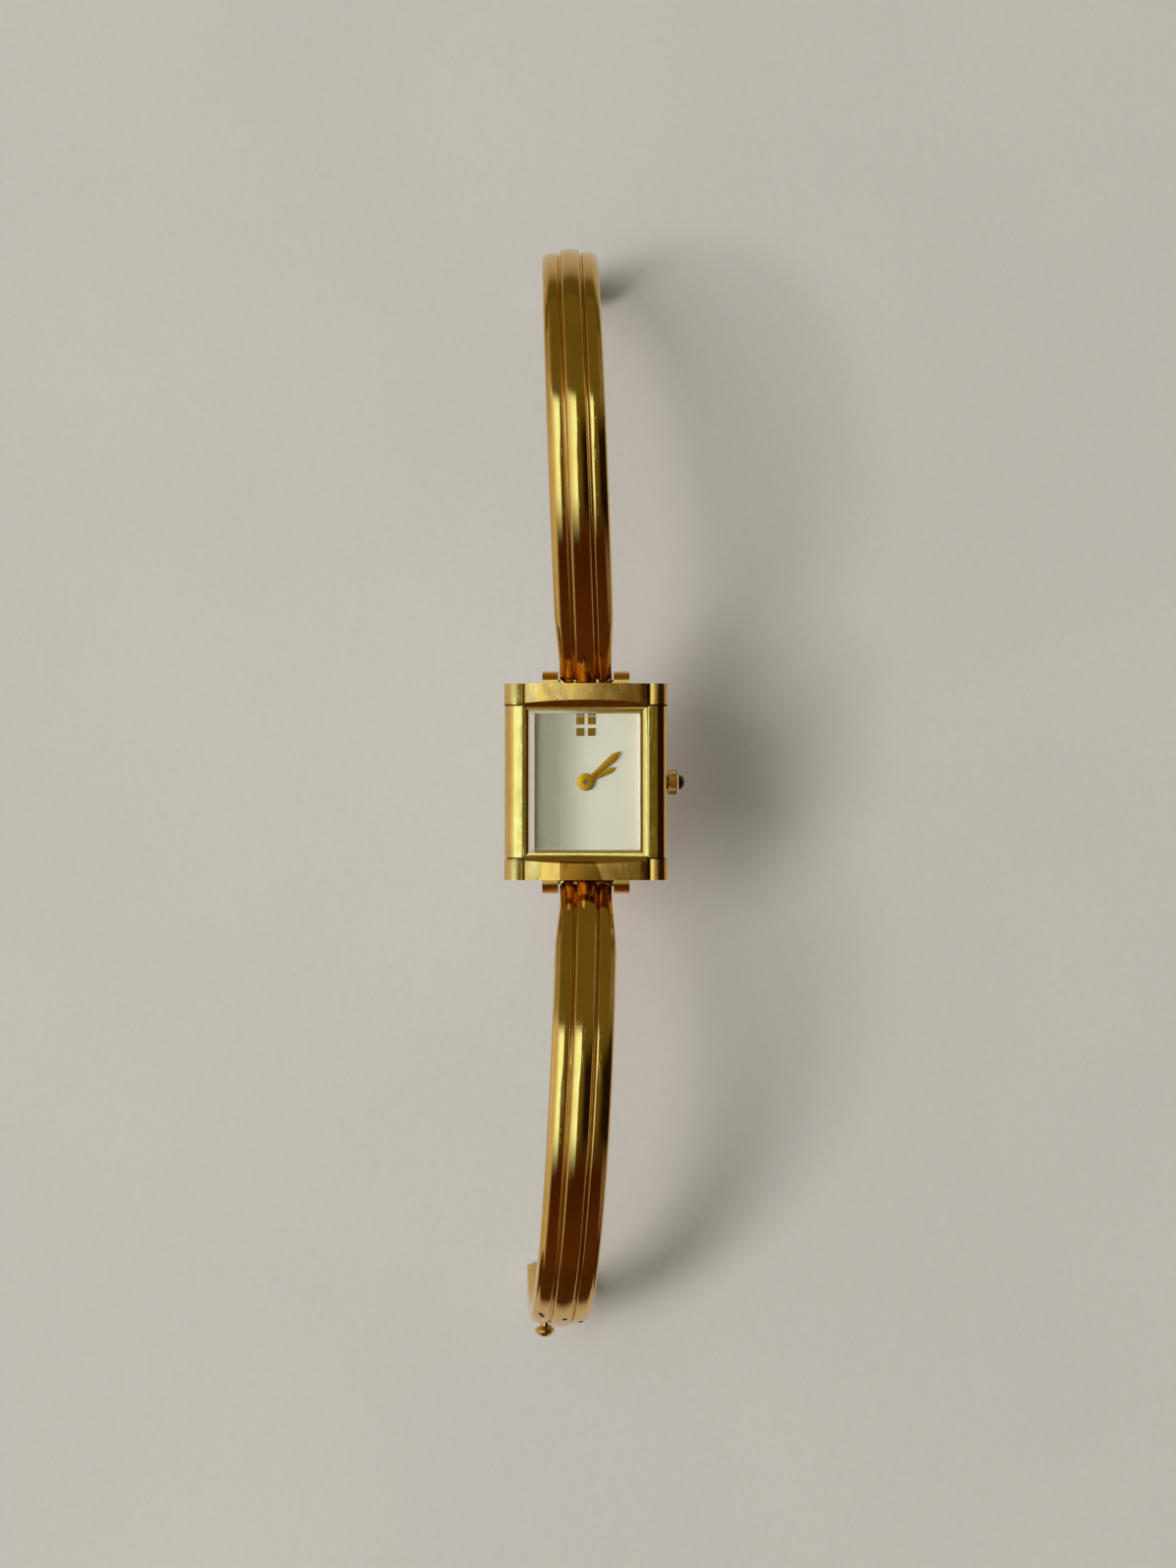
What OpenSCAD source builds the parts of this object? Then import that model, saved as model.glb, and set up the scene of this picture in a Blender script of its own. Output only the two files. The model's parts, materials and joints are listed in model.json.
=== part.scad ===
// Cuff watch: a small rectangular quartz watch between two hinged bangle arms.
// All sizes are in millimetres. Z points up out of the dial, Y to twelve o'clock, X to the crown.
// The origin is the middle of the flat case back. The arms are drawn swung open, as they stand.

/* [Case] */
// Width of the case across the rails
case_w = 17.5; // [17.2:0.1:18.6]
// Length of the case over the end bars
case_l = 21; // [20.8:0.1:22]
// Width of a side rail
rail_w = 1.9; // [1.8:0.05:2]
// Radius of the round outer edge of a rail
rail_round = 1.15; // [0.8:0.05:1.3]
// Width of an end bar
bar_w = 2.4; // [2.3:0.05:2.5]
// Thickness of an end bar above the hinge gap
bar_t = 1.9; // [1.8:0.05:2]
// Rise of the end bars in the middle
bar_camber = 0.35; // [0.2:0.05:0.5]
// Width of the cut lines between rails, bars and corners
groove_w = 0.16; // [0.12:0.02:0.3]
// Depth of the cut lines
groove_d = 0.3; // [0.2:0.05:0.35]
// How much the rails stand in from the corner blocks
rail_step = 0.05; // [0.03:0.01:0.2]
// Chamfer round the bottom edge of the case
base_chamfer = 0.5; // [0.3:0.05:0.6]
// Thickness of the ledge that the crystal sits on
ledge_t = 0.38; // [0.3:0.02:0.5]
// Width of the flat step between the crystal and the sloped side of an end bar
bar_ledge = 0.1; // [0.05:0.01:0.15]

/* [Case back] */
// Thickness of the press-fit back
back_t = 0.7; // [0.6:0.05:0.9]
// Thickness of the flat gasket under the back
back_gasket_t = 0.2; // [0.15:0.05:0.3]
// Width of that gasket
back_gasket_w = 0.3; // [0.25:0.05:0.35]
// Wall of the rim that presses into the case
back_rim_t = 0.45; // [0.35:0.05:0.5]
// Height of that rim above the back
back_rim_h = 0.5; // [0.4:0.05:0.55]

/* [Crystal] */
// Width of the crystal
crystal_w = 12.2; // [11.9:0.05:12.3]
// Length of the crystal
crystal_l = 15.2; // [14.9:0.05:15.3]
// Thickness of the crystal
crystal_t = 1.1; // [0.9:0.05:1.3]
// How far the crystal lies below the top of the end bars
crystal_sink = 0.55; // [0.45:0.05:0.7]
// Width of the gasket round the crystal
crystal_gasket_w = 0.23; // [0.18:0.01:0.25]
// How far that gasket stops below the face of the crystal
crystal_gasket_drop = 0.18; // [0.1:0.02:0.3]

/* [Dial and hands] */
// Width of the dial that can be seen
view_w = 11.38; // [11.1:0.02:11.5]
// Length of the dial that can be seen
view_l = 14.76; // [14.4:0.02:14.9]
// Thickness of the dial
dial_t = 0.3; // [0.2:0.05:0.4]
// Height of the gold frame round the dial
frame_h = 0.45; // [0.4:0.05:0.6]
// Side of one applied square at twelve
marker_w = 0.84; // [0.6:0.02:1]
// Gap between the squares
marker_gap = 0.38; // [0.3:0.02:0.5]
// Height of the squares
marker_h = 0.14; // [0.1:0.02:0.2]
// Distance of the group of squares from the dial centre
marker_y = 6; // [5.5:0.1:6.1]
// Length of the minute hand
minute_len = 4.95; // [4.5:0.05:5.2]
// Length of the hour hand
hour_len = 3.6; // [3.2:0.05:4]
// Radius of the round boss of the hands
hand_boss_r = 0.92; // [0.85:0.01:0.98]
// Thickness of the hands
hand_t = 0.12; // [0.08:0.01:0.14]
// Reading of the minute hand, in degrees from twelve
minute_angle = 48.5; // [0:0.5:359]
// Reading of the hour hand, in degrees from twelve
hour_angle = 65; // [0:0.5:359]

/* [Movement] */
// Width of the movement
mov_w = 12.4; // [12.3:0.05:12.6]
// Length of the movement
mov_l = 15.2; // [15.1:0.05:15.4]
// Thickness of the movement
mov_h = 2.6; // [2.55:0.05:2.8]
// Air between the case back and the movement
mov_gap = 0.25; // [0.2:0.05:0.4]
// Thickness of the main plate
plate_t = 0.93; // [0.9:0.01:0.98]
// Wall of the plastic ring that holds the movement
holder_wall = 0.67; // [0.6:0.01:0.7]
// Radius of the button cell
cell_r = 2.9; // [2.8:0.05:2.95]
// Height of the button cell
cell_h = 2.1; // [2:0.02:2.14]
// Height of the setting stem above the bottom of the movement
stem_up = 2.05; // [2.02:0.01:2.1]
// Radius of the setting stem
stem_r = 0.3; // [0.28:0.01:0.32]
// Length of the motor coil core
coil_l = 4.9; // [4.5:0.1:5]
// Radius of the coil winding
coil_r = 0.6; // [0.5:0.02:0.62]
// Radius of the rotor magnet
magnet_r = 0.6; // [0.5:0.02:0.65]
// Radius of the wheel arbors
arbor_r = 0.1; // [0.08:0.01:0.12]
// Thickness of the wheels
wheel_t = 0.14; // [0.1:0.01:0.15]

/* [Crown] */
// Radius of the fluted crown
crown_r = 1.32; // [1.25:0.01:1.4]
// Width of the fluted part
crown_t = 0.95; // [0.9:0.05:1.1]
// Number of flutes
crown_flutes = 36; // [24:2:44]
// Depth of the flutes
flute_d = 0.07; // [0.04:0.01:0.1]
// Width of the bevel in front of the flutes
crown_bevel = 0.18; // [0.1:0.02:0.25]
// Radius of the round black stone
stone_r = 0.88; // [0.8:0.01:0.92]
// How far the stone stands out of the crown
stone_out = 0.68; // [0.55:0.01:0.7]
// How far the crown pulls out
crown_pull = 1; // [0.8:0.05:1.1]
// Outer radius of the crown tube
tube_r = 0.8; // [0.75:0.01:0.82]

/* [Hinges] */
// Distance of a hinge pin below the top of the case
hinge_drop = 3.7; // [3.65:0.01:3.75]
// How far the hinge pin lies outside the end of the case
hinge_out = 0.2; // [0.15:0.01:0.25]
// Radius of the hinge pins
pin_r = 0.45; // [0.4:0.01:0.5]
// Radius of the ears
ear_r = 1.3; // [1.2:0.02:1.32]
// Gap between the two ears of a hinge
ear_gap = 6; // [5.9:0.05:6.2]
// Thickness of one ear
ear_t = 1.7; // [1.5:0.05:1.9]
// Radius of the barrel at the root of an arm
knuckle_r = 1.2; // [1.1:0.01:1.22]
// Turn of the bottom hinge pin out of square, seen from above
pin_turn = 2.4; // [0:0.1:2.6]
// Fall of the bottom hinge pin toward the crown side
pin_fall = 1; // [0:0.1:1.2]

/* [Bangle arms] */
// Radius of the circle that the closed arms follow
loop_r = 28.7; // [27.5:0.1:30]
// How far each arm swings open
open_angle = 70; // [69:0.5:70.5]
// Lean of the arms out of the upright
arm_lean = 2.3; // [0:0.1:2.6]
// Width of the top arm
arm_w = 6.25; // [6:0.05:6.4]
// Width of the bottom arm, which holds the clasp
clasp_arm_w = 6.5; // [6.3:0.05:6.6]
// Width of an arm between the ears
root_w = 5.6; // [5.4:0.05:5.65]
// Length of the narrow root
root_len = 2.5; // [2.2:0.1:3]
// Length over which the arm then widens
root_taper = 7; // [5:0.5:9]
// Depth of the arm inside its middle line
t_in = 1.25; // [1.22:0.01:1.26]
// Height of the side bands over the middle line
t_side = 0.85; // [0.82:0.01:0.9]
// Height of the middle band over the middle line
t_mid = 1.25; // [1.15:0.01:1.27]
// Width of the middle band
mid_w = 2.1; // [1.9:0.05:2.3]
// Width of the groove beside the middle band
reed_w = 0.3; // [0.2:0.02:0.36]
// Depth of that groove below the side bands
reed_d = 0.28; // [0.2:0.02:0.32]
// Radius of the outer corners of the side bands
side_round = 0.7; // [0.5:0.05:0.75]
// Radius of the inner corners
inner_round = 0.35; // [0.2:0.05:0.4]
// How far the seam lies past the middle of the wrist side
seam_shift = 1.5; // [1:0.1:2]
// Gap between the ends of the closed arms
seam_gap = 0.3; // [0.2:0.05:0.4]
// Flat cut on the outer corner of each end, where the watch stands
foot_cut = 0.2; // [0.1:0.05:0.3]

/* [Clasp] */
// Length of the tongue that goes into the bottom arm
tongue_len = 3.7; // [3.5:0.05:3.8]
// Length of the tongue inside its own arm
tongue_root = 5; // [4.5:0.1:6]
// Width of the tongue
tongue_w = 4.8; // [4.6:0.05:4.9]
// Play round the tongue
tongue_play = 0.08; // [0.06:0.01:0.1]
// Distance of the button from the end of the bottom arm
button_s = 11.5; // [11:0.1:13]
// Sideways place of the button
button_x = -1.25; // [-1.3:0.05:-1.1]
// Radius of the head of the button
button_r = 1.12; // [1:0.02:1.16]
// Radius of the shaft of the button
shaft_r = 0.5; // [0.45:0.01:0.52]
// Radius of the flange that rides in the counterbore
flange_r = 0.8; // [0.74:0.01:0.84]
// How far the head stands off the side band
button_neck = 0.6; // [0.5:0.02:0.7]
// Height of the head
button_h = 1.45; // [1.2:0.05:1.6]
// Travel of the button
button_travel = 0.4; // [0.36:0.01:0.42]
// Play between the hook and its window in the tongue
window_play = 0.2; // [0.16:0.01:0.22]
// Thickness of the catch plate
catch_t = 0.25; // [0.22:0.01:0.26]
// Thickness of the cover under the clasp
cover_t = 0.2; // [0.15:0.01:0.22]

/* [Hidden] */

$fn = 64;
gold = [0.83, 0.62, 0.22];
slip = 0.02;
run = 0.05;
over = 0.01;

// Heights, from the case back up
mov_z = back_t + back_gasket_t + mov_gap;
dial_z = mov_z + mov_h;
frame_z = dial_z + dial_t;
ledge_z = frame_z + frame_h;
crystal_z = ledge_z + ledge_t;
crystal_top = crystal_z + crystal_t;
case_h = crystal_top + crystal_sink;
rail_top = case_h - bar_camber;
bar_under = case_h - bar_t;

// Plan of the case
rail_x = case_w / 2 - rail_w;
well_x = rail_x - 0.17;
well_drop = 0.25;
bar_y = case_l / 2 - bar_w;
cavity_w = mov_w + 2 * holder_wall + 4 * run;
cavity_l = mov_l + 2 * holder_wall + 4 * run;
seat_w = crystal_w + 2 * crystal_gasket_w + 2 * slip;
seat_l = crystal_l + 2 * crystal_gasket_w + 2 * slip;
window_w = view_w + 0.2;
window_l = view_l + 0.24;
rim_w = cavity_w + 2 * 0.5;
rim_l = cavity_l + 2 * 0.32;
back_w = rim_w + 2 * back_gasket_w;
back_l = rim_l + 2 * back_gasket_w;

// Hinges and the circle of the arms
hinge_y = case_l / 2 + hinge_out;
hinge_z = case_h - hinge_drop;
pocket_r = t_in + 0.2;
loop_z = hinge_z - sqrt(loop_r * loop_r - hinge_y * hinge_y);
hinge_a = acos(hinge_y / loop_r);
deg_mm = 180 / (PI * loop_r);
end_bottom = -90 - seam_shift * deg_mm;
end_top = -90 + (seam_shift + seam_gap) * deg_mm;

// Height in the open pose of a point at height u over the middle line, at angle a
function open_z(u, a) = hinge_z
    + ((loop_r + u) * cos(a) - hinge_y) * sin(open_angle)
    + (loop_z + (loop_r + u) * sin(a) - hinge_z) * cos(open_angle);
foot_z = open_z(t_side, end_bottom) + foot_cut;

// Stack of the clasp, as heights over the middle line of the arm
tongue_lo = -0.27;
tongue_hi = 0.32;
slot_lo = tongue_lo - tongue_play;
slot_hi = tongue_hi + tongue_play;
catch_hi = slot_lo - slip;
catch_lo = catch_hi - catch_t;
cover_hi = -t_in + cover_t;
hook_h = button_travel - 0.05;
hook_s = 1.4;
hook_l = 1;
hook_w = 1.2;
catch_x = -0.5;
catch_w = 2.8;
catch_s = 0.9;
pocket_s = 0.6;
cover_s = 0.3;
catch_end = button_s + 1.4;
cover_end = button_s + 3.6;
cover_w = catch_w + 1.1;
rivet_s = button_s + 2.6;
tongue_rivets_s = [1.6, 3.4];
tongue_rivet_r = 0.4;
tongue_rivet_top = 0.6;
cover_rivets_x = [catch_x - 1.1, catch_x + 1.1];
cover_rivet_r = 0.25;
cover_rivet_top = 0.28;

// Return spring of the button, in a counterbore round the shaft
spring_seat = -0.05;
flange_lo = t_side - 0.1;
flange_hi = t_side + 0.12;
spring_or = flange_r - 0.02;
spring_ir = shaft_r + 0.08;

// Movement layout, seen from the dial side
centre_mod = 0.09;
third_mod = 0.07;
rotor_mod = 0.06;
tooth_gap = 0.03;
centre_teeth = 40;
third_pinion_teeth = 10;
third_teeth = 45;
inter_pinion_teeth = 10;
inter_teeth = 40;
rotor_teeth = 8;
cannon_teeth = 10;
minute_teeth = 30;
minute_pinion_teeth = 8;
hour_teeth = 32;
motion_mod = 0.089;
function step_to(from, d, a) = [from[0] + d * cos(a), from[1] + d * sin(a)];
centre_at = [0, 0];
third_at = step_to(centre_at, (centre_teeth + third_pinion_teeth) * centre_mod / 2 + tooth_gap, -35);
inter_at = step_to(third_at, (third_teeth + inter_pinion_teeth) * third_mod / 2 + tooth_gap, -62);
rotor_at = step_to(inter_at, (inter_teeth + rotor_teeth) * rotor_mod / 2 + tooth_gap, -80);
minute_at = step_to(centre_at, (cannon_teeth + minute_teeth) * motion_mod / 2 + tooth_gap, 136);
cell_at = [-mov_w / 2 + cell_r + 0.25, -mov_l / 2 + cell_r + 0.3];
coil_x = rotor_at[0] + 0.3;
coil_y = -mov_l / 2 + 0.9;
coil_z = mov_z + 0.8;
iron_t = 0.25;
lever_at = [mov_w / 2 - 1.8, 1.7];
board_y = 3;
chip_at = [-2.5, mov_l / 2 - 2.4];
quartz_y = mov_l / 2 - 1.6;
quartz_r = 0.55;
quartz_l = 4.2;
bridge_z = mov_z + 0.2;
bridge_t = 0.2;
cell_z = mov_z + 0.15;
plate_z = mov_z + mov_h - plate_t;
stem_z = mov_z + stem_up;
motion_z = dial_z - 0.6;
bridge_posts = [[-1.55, 1.75], [mov_w / 2 - 0.9, -2.4], [2.3, 2.1]];
bridge_lo = [bridge_posts[0][0] - 0.65, rotor_at[1] - 1.1];
bridge_hi = [bridge_posts[1][0] + 0.6, bridge_posts[2][1] + 0.6];
board_posts = [[-mov_w / 2 + 1.2, board_y + 0.6], [mov_w / 2 - 1, board_y + 0.6]];
clamp_post = [cell_at[0] + 0.35, 2.3];
post_r = 0.4;
screw_r = 0.18;
screw_head_r = 0.35;
tube_bore = stem_r + run;
crown_x = case_w / 2 + 0.12;
crown_recess_r = tube_r + 0.2;
crown_recess = 0.5;
tube_out = crown_x + 0.4;
lever_groove = 0.5;
lever_pin_r = 0.12;
lever_pivot_r = 0.25;
pinion_x = 2.2;
pinion_l = 0.4;
cannon_r = 0.35;
pipe_bore = cannon_r + run;
pipe_r = 0.62;
hour_hand_z = frame_z + 0.16;
minute_hand_z = frame_z + 0.46;
cannon_top = minute_hand_z + hand_t + 0.1;

// Points of an arc with centre c and radius r, from angle a0 to a1 in n steps
function arc_pts(c, r, a0, a1, n) = [for (i = [0:n])
    [c[0] + r * cos(a0 + (a1 - a0) * i / n), c[1] + r * sin(a0 + (a1 - a0) * i / n)]];
function flip(pts) = [for (i = [len(pts) - 1:-1:0]) [-pts[i][0], pts[i][1]]];
function flip_y(pts) = [for (i = [len(pts) - 1:-1:0]) [pts[i][0], -pts[i][1]]];

// Shared shapes

// A box with its middle at x and y of c, from z0 to z1
module slab(c, size, z0, z1) {
    translate([c[0] - size[0] / 2, c[1] - size[1] / 2, z0]) cube([size[0], size[1], z1 - z0]);
}

// A flat rectangular ring
module ring(outer, inner, z0, z1) {
    difference() {
        slab([0, 0], outer, z0, z1);
        slab([0, 0], inner, z0 - 1, z1 + 1);
    }
}

// A round bar along X from x0 to x1 at height z
module bar_x(r, x0, x1, y, z) {
    translate([x0, y, z]) rotate([0, 90, 0]) cylinder(r = r, h = x1 - x0);
}

// An upright round bar
module post(at, r, z0, z1) {
    translate([at[0], at[1], z0]) cylinder(r = r, h = z1 - z0, $fn = 32);
}

// A flat toothed wheel
module gear(at, teeth, mod, z0, t) {
    tip = teeth * mod / 2;
    root = tip - mod;
    step = 360 / teeth;
    pts = [for (i = [0:teeth - 1]) for (k = [[0, root], [0.22, tip], [0.5, tip], [0.72, root]])
        [k[1] * cos((i + k[0]) * step), k[1] * sin((i + k[0]) * step)]];
    translate([at[0], at[1], z0]) linear_extrude(t) polygon(pts);
}

// Case

// Cross section of the case, seen from the front, with its rails set in by d
module case_section(d) {
    half = case_w / 2 - d;
    top = rail_top - d;
    arch_r = (well_x * well_x + bar_camber * bar_camber) / (2 * bar_camber);
    arch_a = asin(well_x / arch_r);
    right = concat(
        [[0, 0], [half - base_chamfer, 0], [half, base_chamfer]],
        arc_pts([half - rail_round, top - rail_round], rail_round, 0, 90, 10),
        [[well_x + groove_w / 2, top], [well_x + groove_w / 2, rail_top - groove_d],
         [well_x - groove_w / 2, rail_top - groove_d]],
        arc_pts([0, case_h - arch_r], arch_r, 90 - arch_a * 0.97, 90, 8));
    polygon(concat(right, flip(right)));
}

// Space outside the case section set in by d, from y0 to y1, beside the middle
module rail_trim(d, y0, y1) {
    translate([0, y1, 0]) rotate([90, 0, 0]) linear_extrude(y1 - y0) difference() {
        for (sx = [-1, 1]) translate([sx > 0 ? well_x : -well_x - 5, -1]) square([5, case_h + 2]);
        case_section(d);
    }
}

module hinge_ears() {
    for (sx = [-1, 1]) {
        x0 = sx > 0 ? ear_gap / 2 : -ear_gap / 2 - ear_t;
        bar_x(ear_r, x0, x0 + ear_t, hinge_y, hinge_z);
        translate([x0, hinge_y - ear_r - 0.3, hinge_z - ear_r]) cube([ear_t, ear_r + 0.3, 2 * ear_r]);
    }
}

// Space over the crystal, its two ends sloped at 45 degrees into the end bars
module bar_slopes() {
    low = crystal_top - well_drop;
    half = seat_l / 2 + bar_ledge;
    rise = case_h + 1 - low;
    translate([-well_x, 0, low]) rotate([90, 0, 90]) linear_extrude(2 * well_x)
        polygon([[-half, 0], [half, 0], [half + rise, rise], [-half - rise, rise]]);
}

// Room for the barrel and the root of an arm between the ears
module hinge_pocket() {
    bar_x(pocket_r, -ear_gap / 2, ear_gap / 2, hinge_y, hinge_z);
    translate([-ear_gap / 2, case_l / 2 - 0.7, hinge_z - pocket_r - 0.25])
        cube([ear_gap, 2, bar_under - hinge_z + pocket_r + 0.25]);
}

module case_body() {
    color(gold) difference() {
        union() {
            difference() {
                translate([0, case_l / 2, 0]) rotate([90, 0, 0]) linear_extrude(case_l) case_section(0);
                rail_trim(rail_step, -bar_y, bar_y);
                for (y = [-bar_y - groove_w, bar_y]) rail_trim(groove_d, y, y + groove_w);
            }
            for (s = [0, 1]) mirror([0, s, 0]) hinge_ears();
        }
        bar_slopes();
        slab([0, 0], [seat_w, seat_l], crystal_z, case_h + 1);
        slab([0, 0], [window_w, window_l], ledge_z - 1, case_h + 1);
        slab([0, 0], [cavity_w, cavity_l], -1, ledge_z);
        slab([0, 0], [rim_w, rim_l], -1, back_t + back_gasket_t + back_rim_h);
        slab([0, 0], [back_w + 2 * slip, back_l + 2 * slip], -1, back_t + back_gasket_t);
        bar_x(tube_r + slip / 2, cavity_w / 2 - 1, case_w / 2 + 1, 0, stem_z);
        for (s = [0, 1]) mirror([0, s, 0]) {
            hinge_pocket();
            askew(s) bar_x(pin_r + slip / 2, -case_w / 2, case_w / 2, hinge_y, hinge_z);
        }
    }
}

module case_back() {
    color(gold) union() {
        slab([0, 0], [back_w, back_l], 0, back_t);
        ring([rim_w - 2 * slip, rim_l - 2 * slip],
            [rim_w - 2 * back_rim_t, rim_l - 2 * back_rim_t + 0.3], back_t - over,
            back_t + back_gasket_t + back_rim_h - run);
    }
}

module back_gasket() {
    color([0.15, 0.15, 0.16]) ring([back_w, back_l], [rim_w, rim_l], back_t, back_t + back_gasket_t);
}

module crystal() {
    color([0.85, 0.9, 0.92, 0.3]) slab([0, 0], [crystal_w, crystal_l], crystal_z, crystal_top);
}

module crystal_gasket() {
    color([0.9, 0.9, 0.88])
        ring([seat_w - 2 * slip, seat_l - 2 * slip], [crystal_w + slip, crystal_l + slip],
            crystal_z, crystal_top - crystal_gasket_drop);
}

// Polished frame between the crystal ledge and the dial
module dial_frame() {
    color(gold) ring([cavity_w - 4 * run, cavity_l - 4 * run], [view_w, view_l], frame_z, ledge_z);
}

// Crown

module crown_tube() {
    color(gold) difference() {
        bar_x(tube_r, cavity_w / 2, tube_out, 0, stem_z);
        bar_x(tube_bore, 0, case_w, 0, stem_z);
    }
}

// Fluted outline of the crown
module crown_outline() {
    step = 360 / crown_flutes;
    pts = [for (i = [0:crown_flutes - 1]) for (k = [[0, 0], [0.3, 0], [0.5, flute_d], [0.8, flute_d]])
        let (r = crown_r - k[1], a = (i + k[0]) * step) [r * cos(a), r * sin(a)]];
    polygon(pts);
}

module crown() {
    color(gold) difference() {
        union() {
            translate([crown_x, 0, stem_z]) rotate([0, 90, 0]) linear_extrude(crown_t) crown_outline();
            translate([crown_x + crown_t - over, 0, stem_z]) rotate([0, 90, 0])
                cylinder(r1 = crown_r - flute_d - 0.03, r2 = stone_r + 0.06, h = crown_bevel + over);
        }
        bar_x(crown_recess_r, crown_x - 1, crown_x + crown_recess, 0, stem_z);
        bar_x(stem_r + slip / 2, crown_x - 1, crown_x + crown_t - 0.15, 0, stem_z);
    }
}

module crown_stone() {
    face = crown_x + crown_t + crown_bevel;
    color([0.02, 0.02, 0.03]) intersection() {
        translate([face + stone_out - stone_r, 0, stem_z]) sphere(r = stone_r);
        translate([face, -stone_r, stem_z - stone_r]) cube([2 * stone_r, 2 * stone_r, 2 * stone_r]);
    }
}

module crown_gasket() {
    color([0.1, 0.1, 0.1]) difference() {
        bar_x(crown_recess_r - slip, crown_x + 0.08, crown_x + 0.34, 0, stem_z);
        bar_x(tube_r + slip, crown_x - 1, crown_x + 1, 0, stem_z);
    }
}

module setting_stem() {
    groove_x = lever_at[0] - lever_groove / 2;
    color([0.7, 0.7, 0.72]) difference() {
        bar_x(stem_r, pinion_x - 0.2, crown_x + crown_t - 0.2, 0, stem_z);
        difference() {
            bar_x(stem_r + 1, groove_x, groove_x + lever_groove, 0, stem_z);
            bar_x(stem_r * 0.66, groove_x - 1, groove_x + lever_groove + 1, 0, stem_z);
        }
    }
}

module stem_pinion() {
    color([0.75, 0.72, 0.6]) difference() {
        translate([pinion_x, 0, stem_z]) rotate([0, 90, 0]) gear(centre_at, 12, 0.09, 0, pinion_l);
        bar_x(stem_r, 0, case_w, 0, stem_z);
    }
}

// Lever that the stem groove swings when the crown is pulled
module setting_lever() {
    z0 = plate_z - 0.27;
    color([0.7, 0.7, 0.72]) difference() {
        union() {
            post(lever_at, 0.55, z0, z0 + 0.15);
            slab([lever_at[0], lever_at[1] / 2], [0.5, lever_at[1]], z0, z0 + 0.15);
            post([lever_at[0], 0], lever_pin_r, z0 + over, stem_z - stem_r * 0.66 - slip);
        }
        post(lever_at, lever_pivot_r + run, z0 - 1, z0 + 1);
    }
}

module lever_pin() {
    color([0.7, 0.7, 0.72]) union() {
        post(lever_at, lever_pivot_r, plate_z - 0.3, plate_z + 0.4);
        post(lever_at, 0.45, plate_z - 0.4, plate_z - 0.3);
    }
}

// Dial and hands

module dial() {
    color([0.88, 0.88, 0.86]) difference() {
        slab([0, 0], [cavity_w - 4 * run, cavity_l - 4 * run], dial_z, frame_z);
        post(centre_at, pipe_r + 0.13, dial_z - 1, frame_z + 1);
    }
}

module hour_markers() {
    pitch = marker_w + marker_gap;
    color(gold) for (i = [-1, 1], j = [-1, 1])
        slab([i * pitch / 2, marker_y + j * pitch / 2], [marker_w, marker_w], frame_z, frame_z + marker_h);
}

// A hand that widens towards its point, lying along +Y before it is turned
module hand(len, root_half, wide_half, bore_r, z0, reading) {
    shoulder = 0.83 * len;
    color(gold) rotate([0, 0, -reading]) difference() {
        translate([0, 0, z0]) union() {
            cylinder(r = hand_boss_r, h = hand_t);
            linear_extrude(hand_t) polygon([[-root_half, 0], [root_half, 0], [wide_half, shoulder],
                [0, len], [-wide_half, shoulder]]);
        }
        translate([0, 0, z0 - 1]) cylinder(r = bore_r, h = 3);
    }
}

module hour_hand() { hand(hour_len, 0.19, 0.3, pipe_r, hour_hand_z, hour_angle); }
module minute_hand() { hand(minute_len, 0.21, 0.39, cannon_r - 0.07, minute_hand_z, minute_angle); }

// Wheels of the movement

// Arbor of the minute hand, with the pinion of the motion work
module cannon_pinion() {
    color([0.8, 0.72, 0.45]) union() {
        post(centre_at, arbor_r, bridge_z + 0.02, plate_z);
        post(centre_at, cannon_r, plate_z - 0.3, hour_hand_z + hand_t + 0.1);
        post(centre_at, cannon_r - 0.07, hour_hand_z + hand_t, cannon_top);
        gear(centre_at, cannon_teeth, motion_mod, motion_z + 0.02, 0.15);
    }
}

module centre_wheel() {
    z0 = plate_z - 0.29;
    color([0.8, 0.68, 0.35]) difference() {
        gear(centre_at, centre_teeth, centre_mod, z0, wheel_t);
        post(centre_at, cannon_r, z0 - 1, z0 + 1);
    }
}

module hour_wheel() {
    color([0.8, 0.68, 0.35]) difference() {
        union() {
            gear(centre_at, hour_teeth, motion_mod, motion_z + 0.22, 0.15);
            post(centre_at, pipe_r, motion_z + 0.22, hour_hand_z + hand_t);
        }
        post(centre_at, pipe_bore, motion_z, hour_hand_z + 1);
    }
}

module minute_wheel() {
    color([0.8, 0.68, 0.35]) difference() {
        union() {
            gear(minute_at, minute_teeth, motion_mod, motion_z + 0.02, 0.15);
            gear(minute_at, minute_pinion_teeth, motion_mod, motion_z + 0.16, 0.23);
        }
        post(minute_at, 0.12 + run, motion_z - 1, motion_z + 1);
    }
}

module minute_wheel_post() {
    color([0.7, 0.7, 0.72]) post(minute_at, 0.12, motion_z, motion_z + 0.5);
}

// A wheel and its pinion on one arbor
module train_wheel(at, teeth, mod, z_wheel, pinion_teeth, pinion_mod, z_pinion, pinion_t) {
    color([0.8, 0.68, 0.35]) union() {
        post(at, arbor_r, bridge_z + 0.02, plate_z + 0.2);
        gear(at, teeth, mod, z_wheel, wheel_t);
        gear(at, pinion_teeth, pinion_mod, z_pinion, pinion_t);
    }
}

module third_wheel() {
    train_wheel(third_at, third_teeth, third_mod, mov_z + 0.92, third_pinion_teeth, centre_mod,
        mov_z + 1.3, 0.32);
}

module intermediate_wheel() {
    train_wheel(inter_at, inter_teeth, rotor_mod, mov_z + 1.15, inter_pinion_teeth, third_mod,
        mov_z + 0.86, 0.24);
}

module rotor_pinion() {
    color([0.75, 0.75, 0.75]) union() {
        post(rotor_at, arbor_r, bridge_z + 0.02, plate_z + 0.2);
        gear(rotor_at, rotor_teeth, rotor_mod, mov_z + 1.05, 0.4);
    }
}

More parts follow.
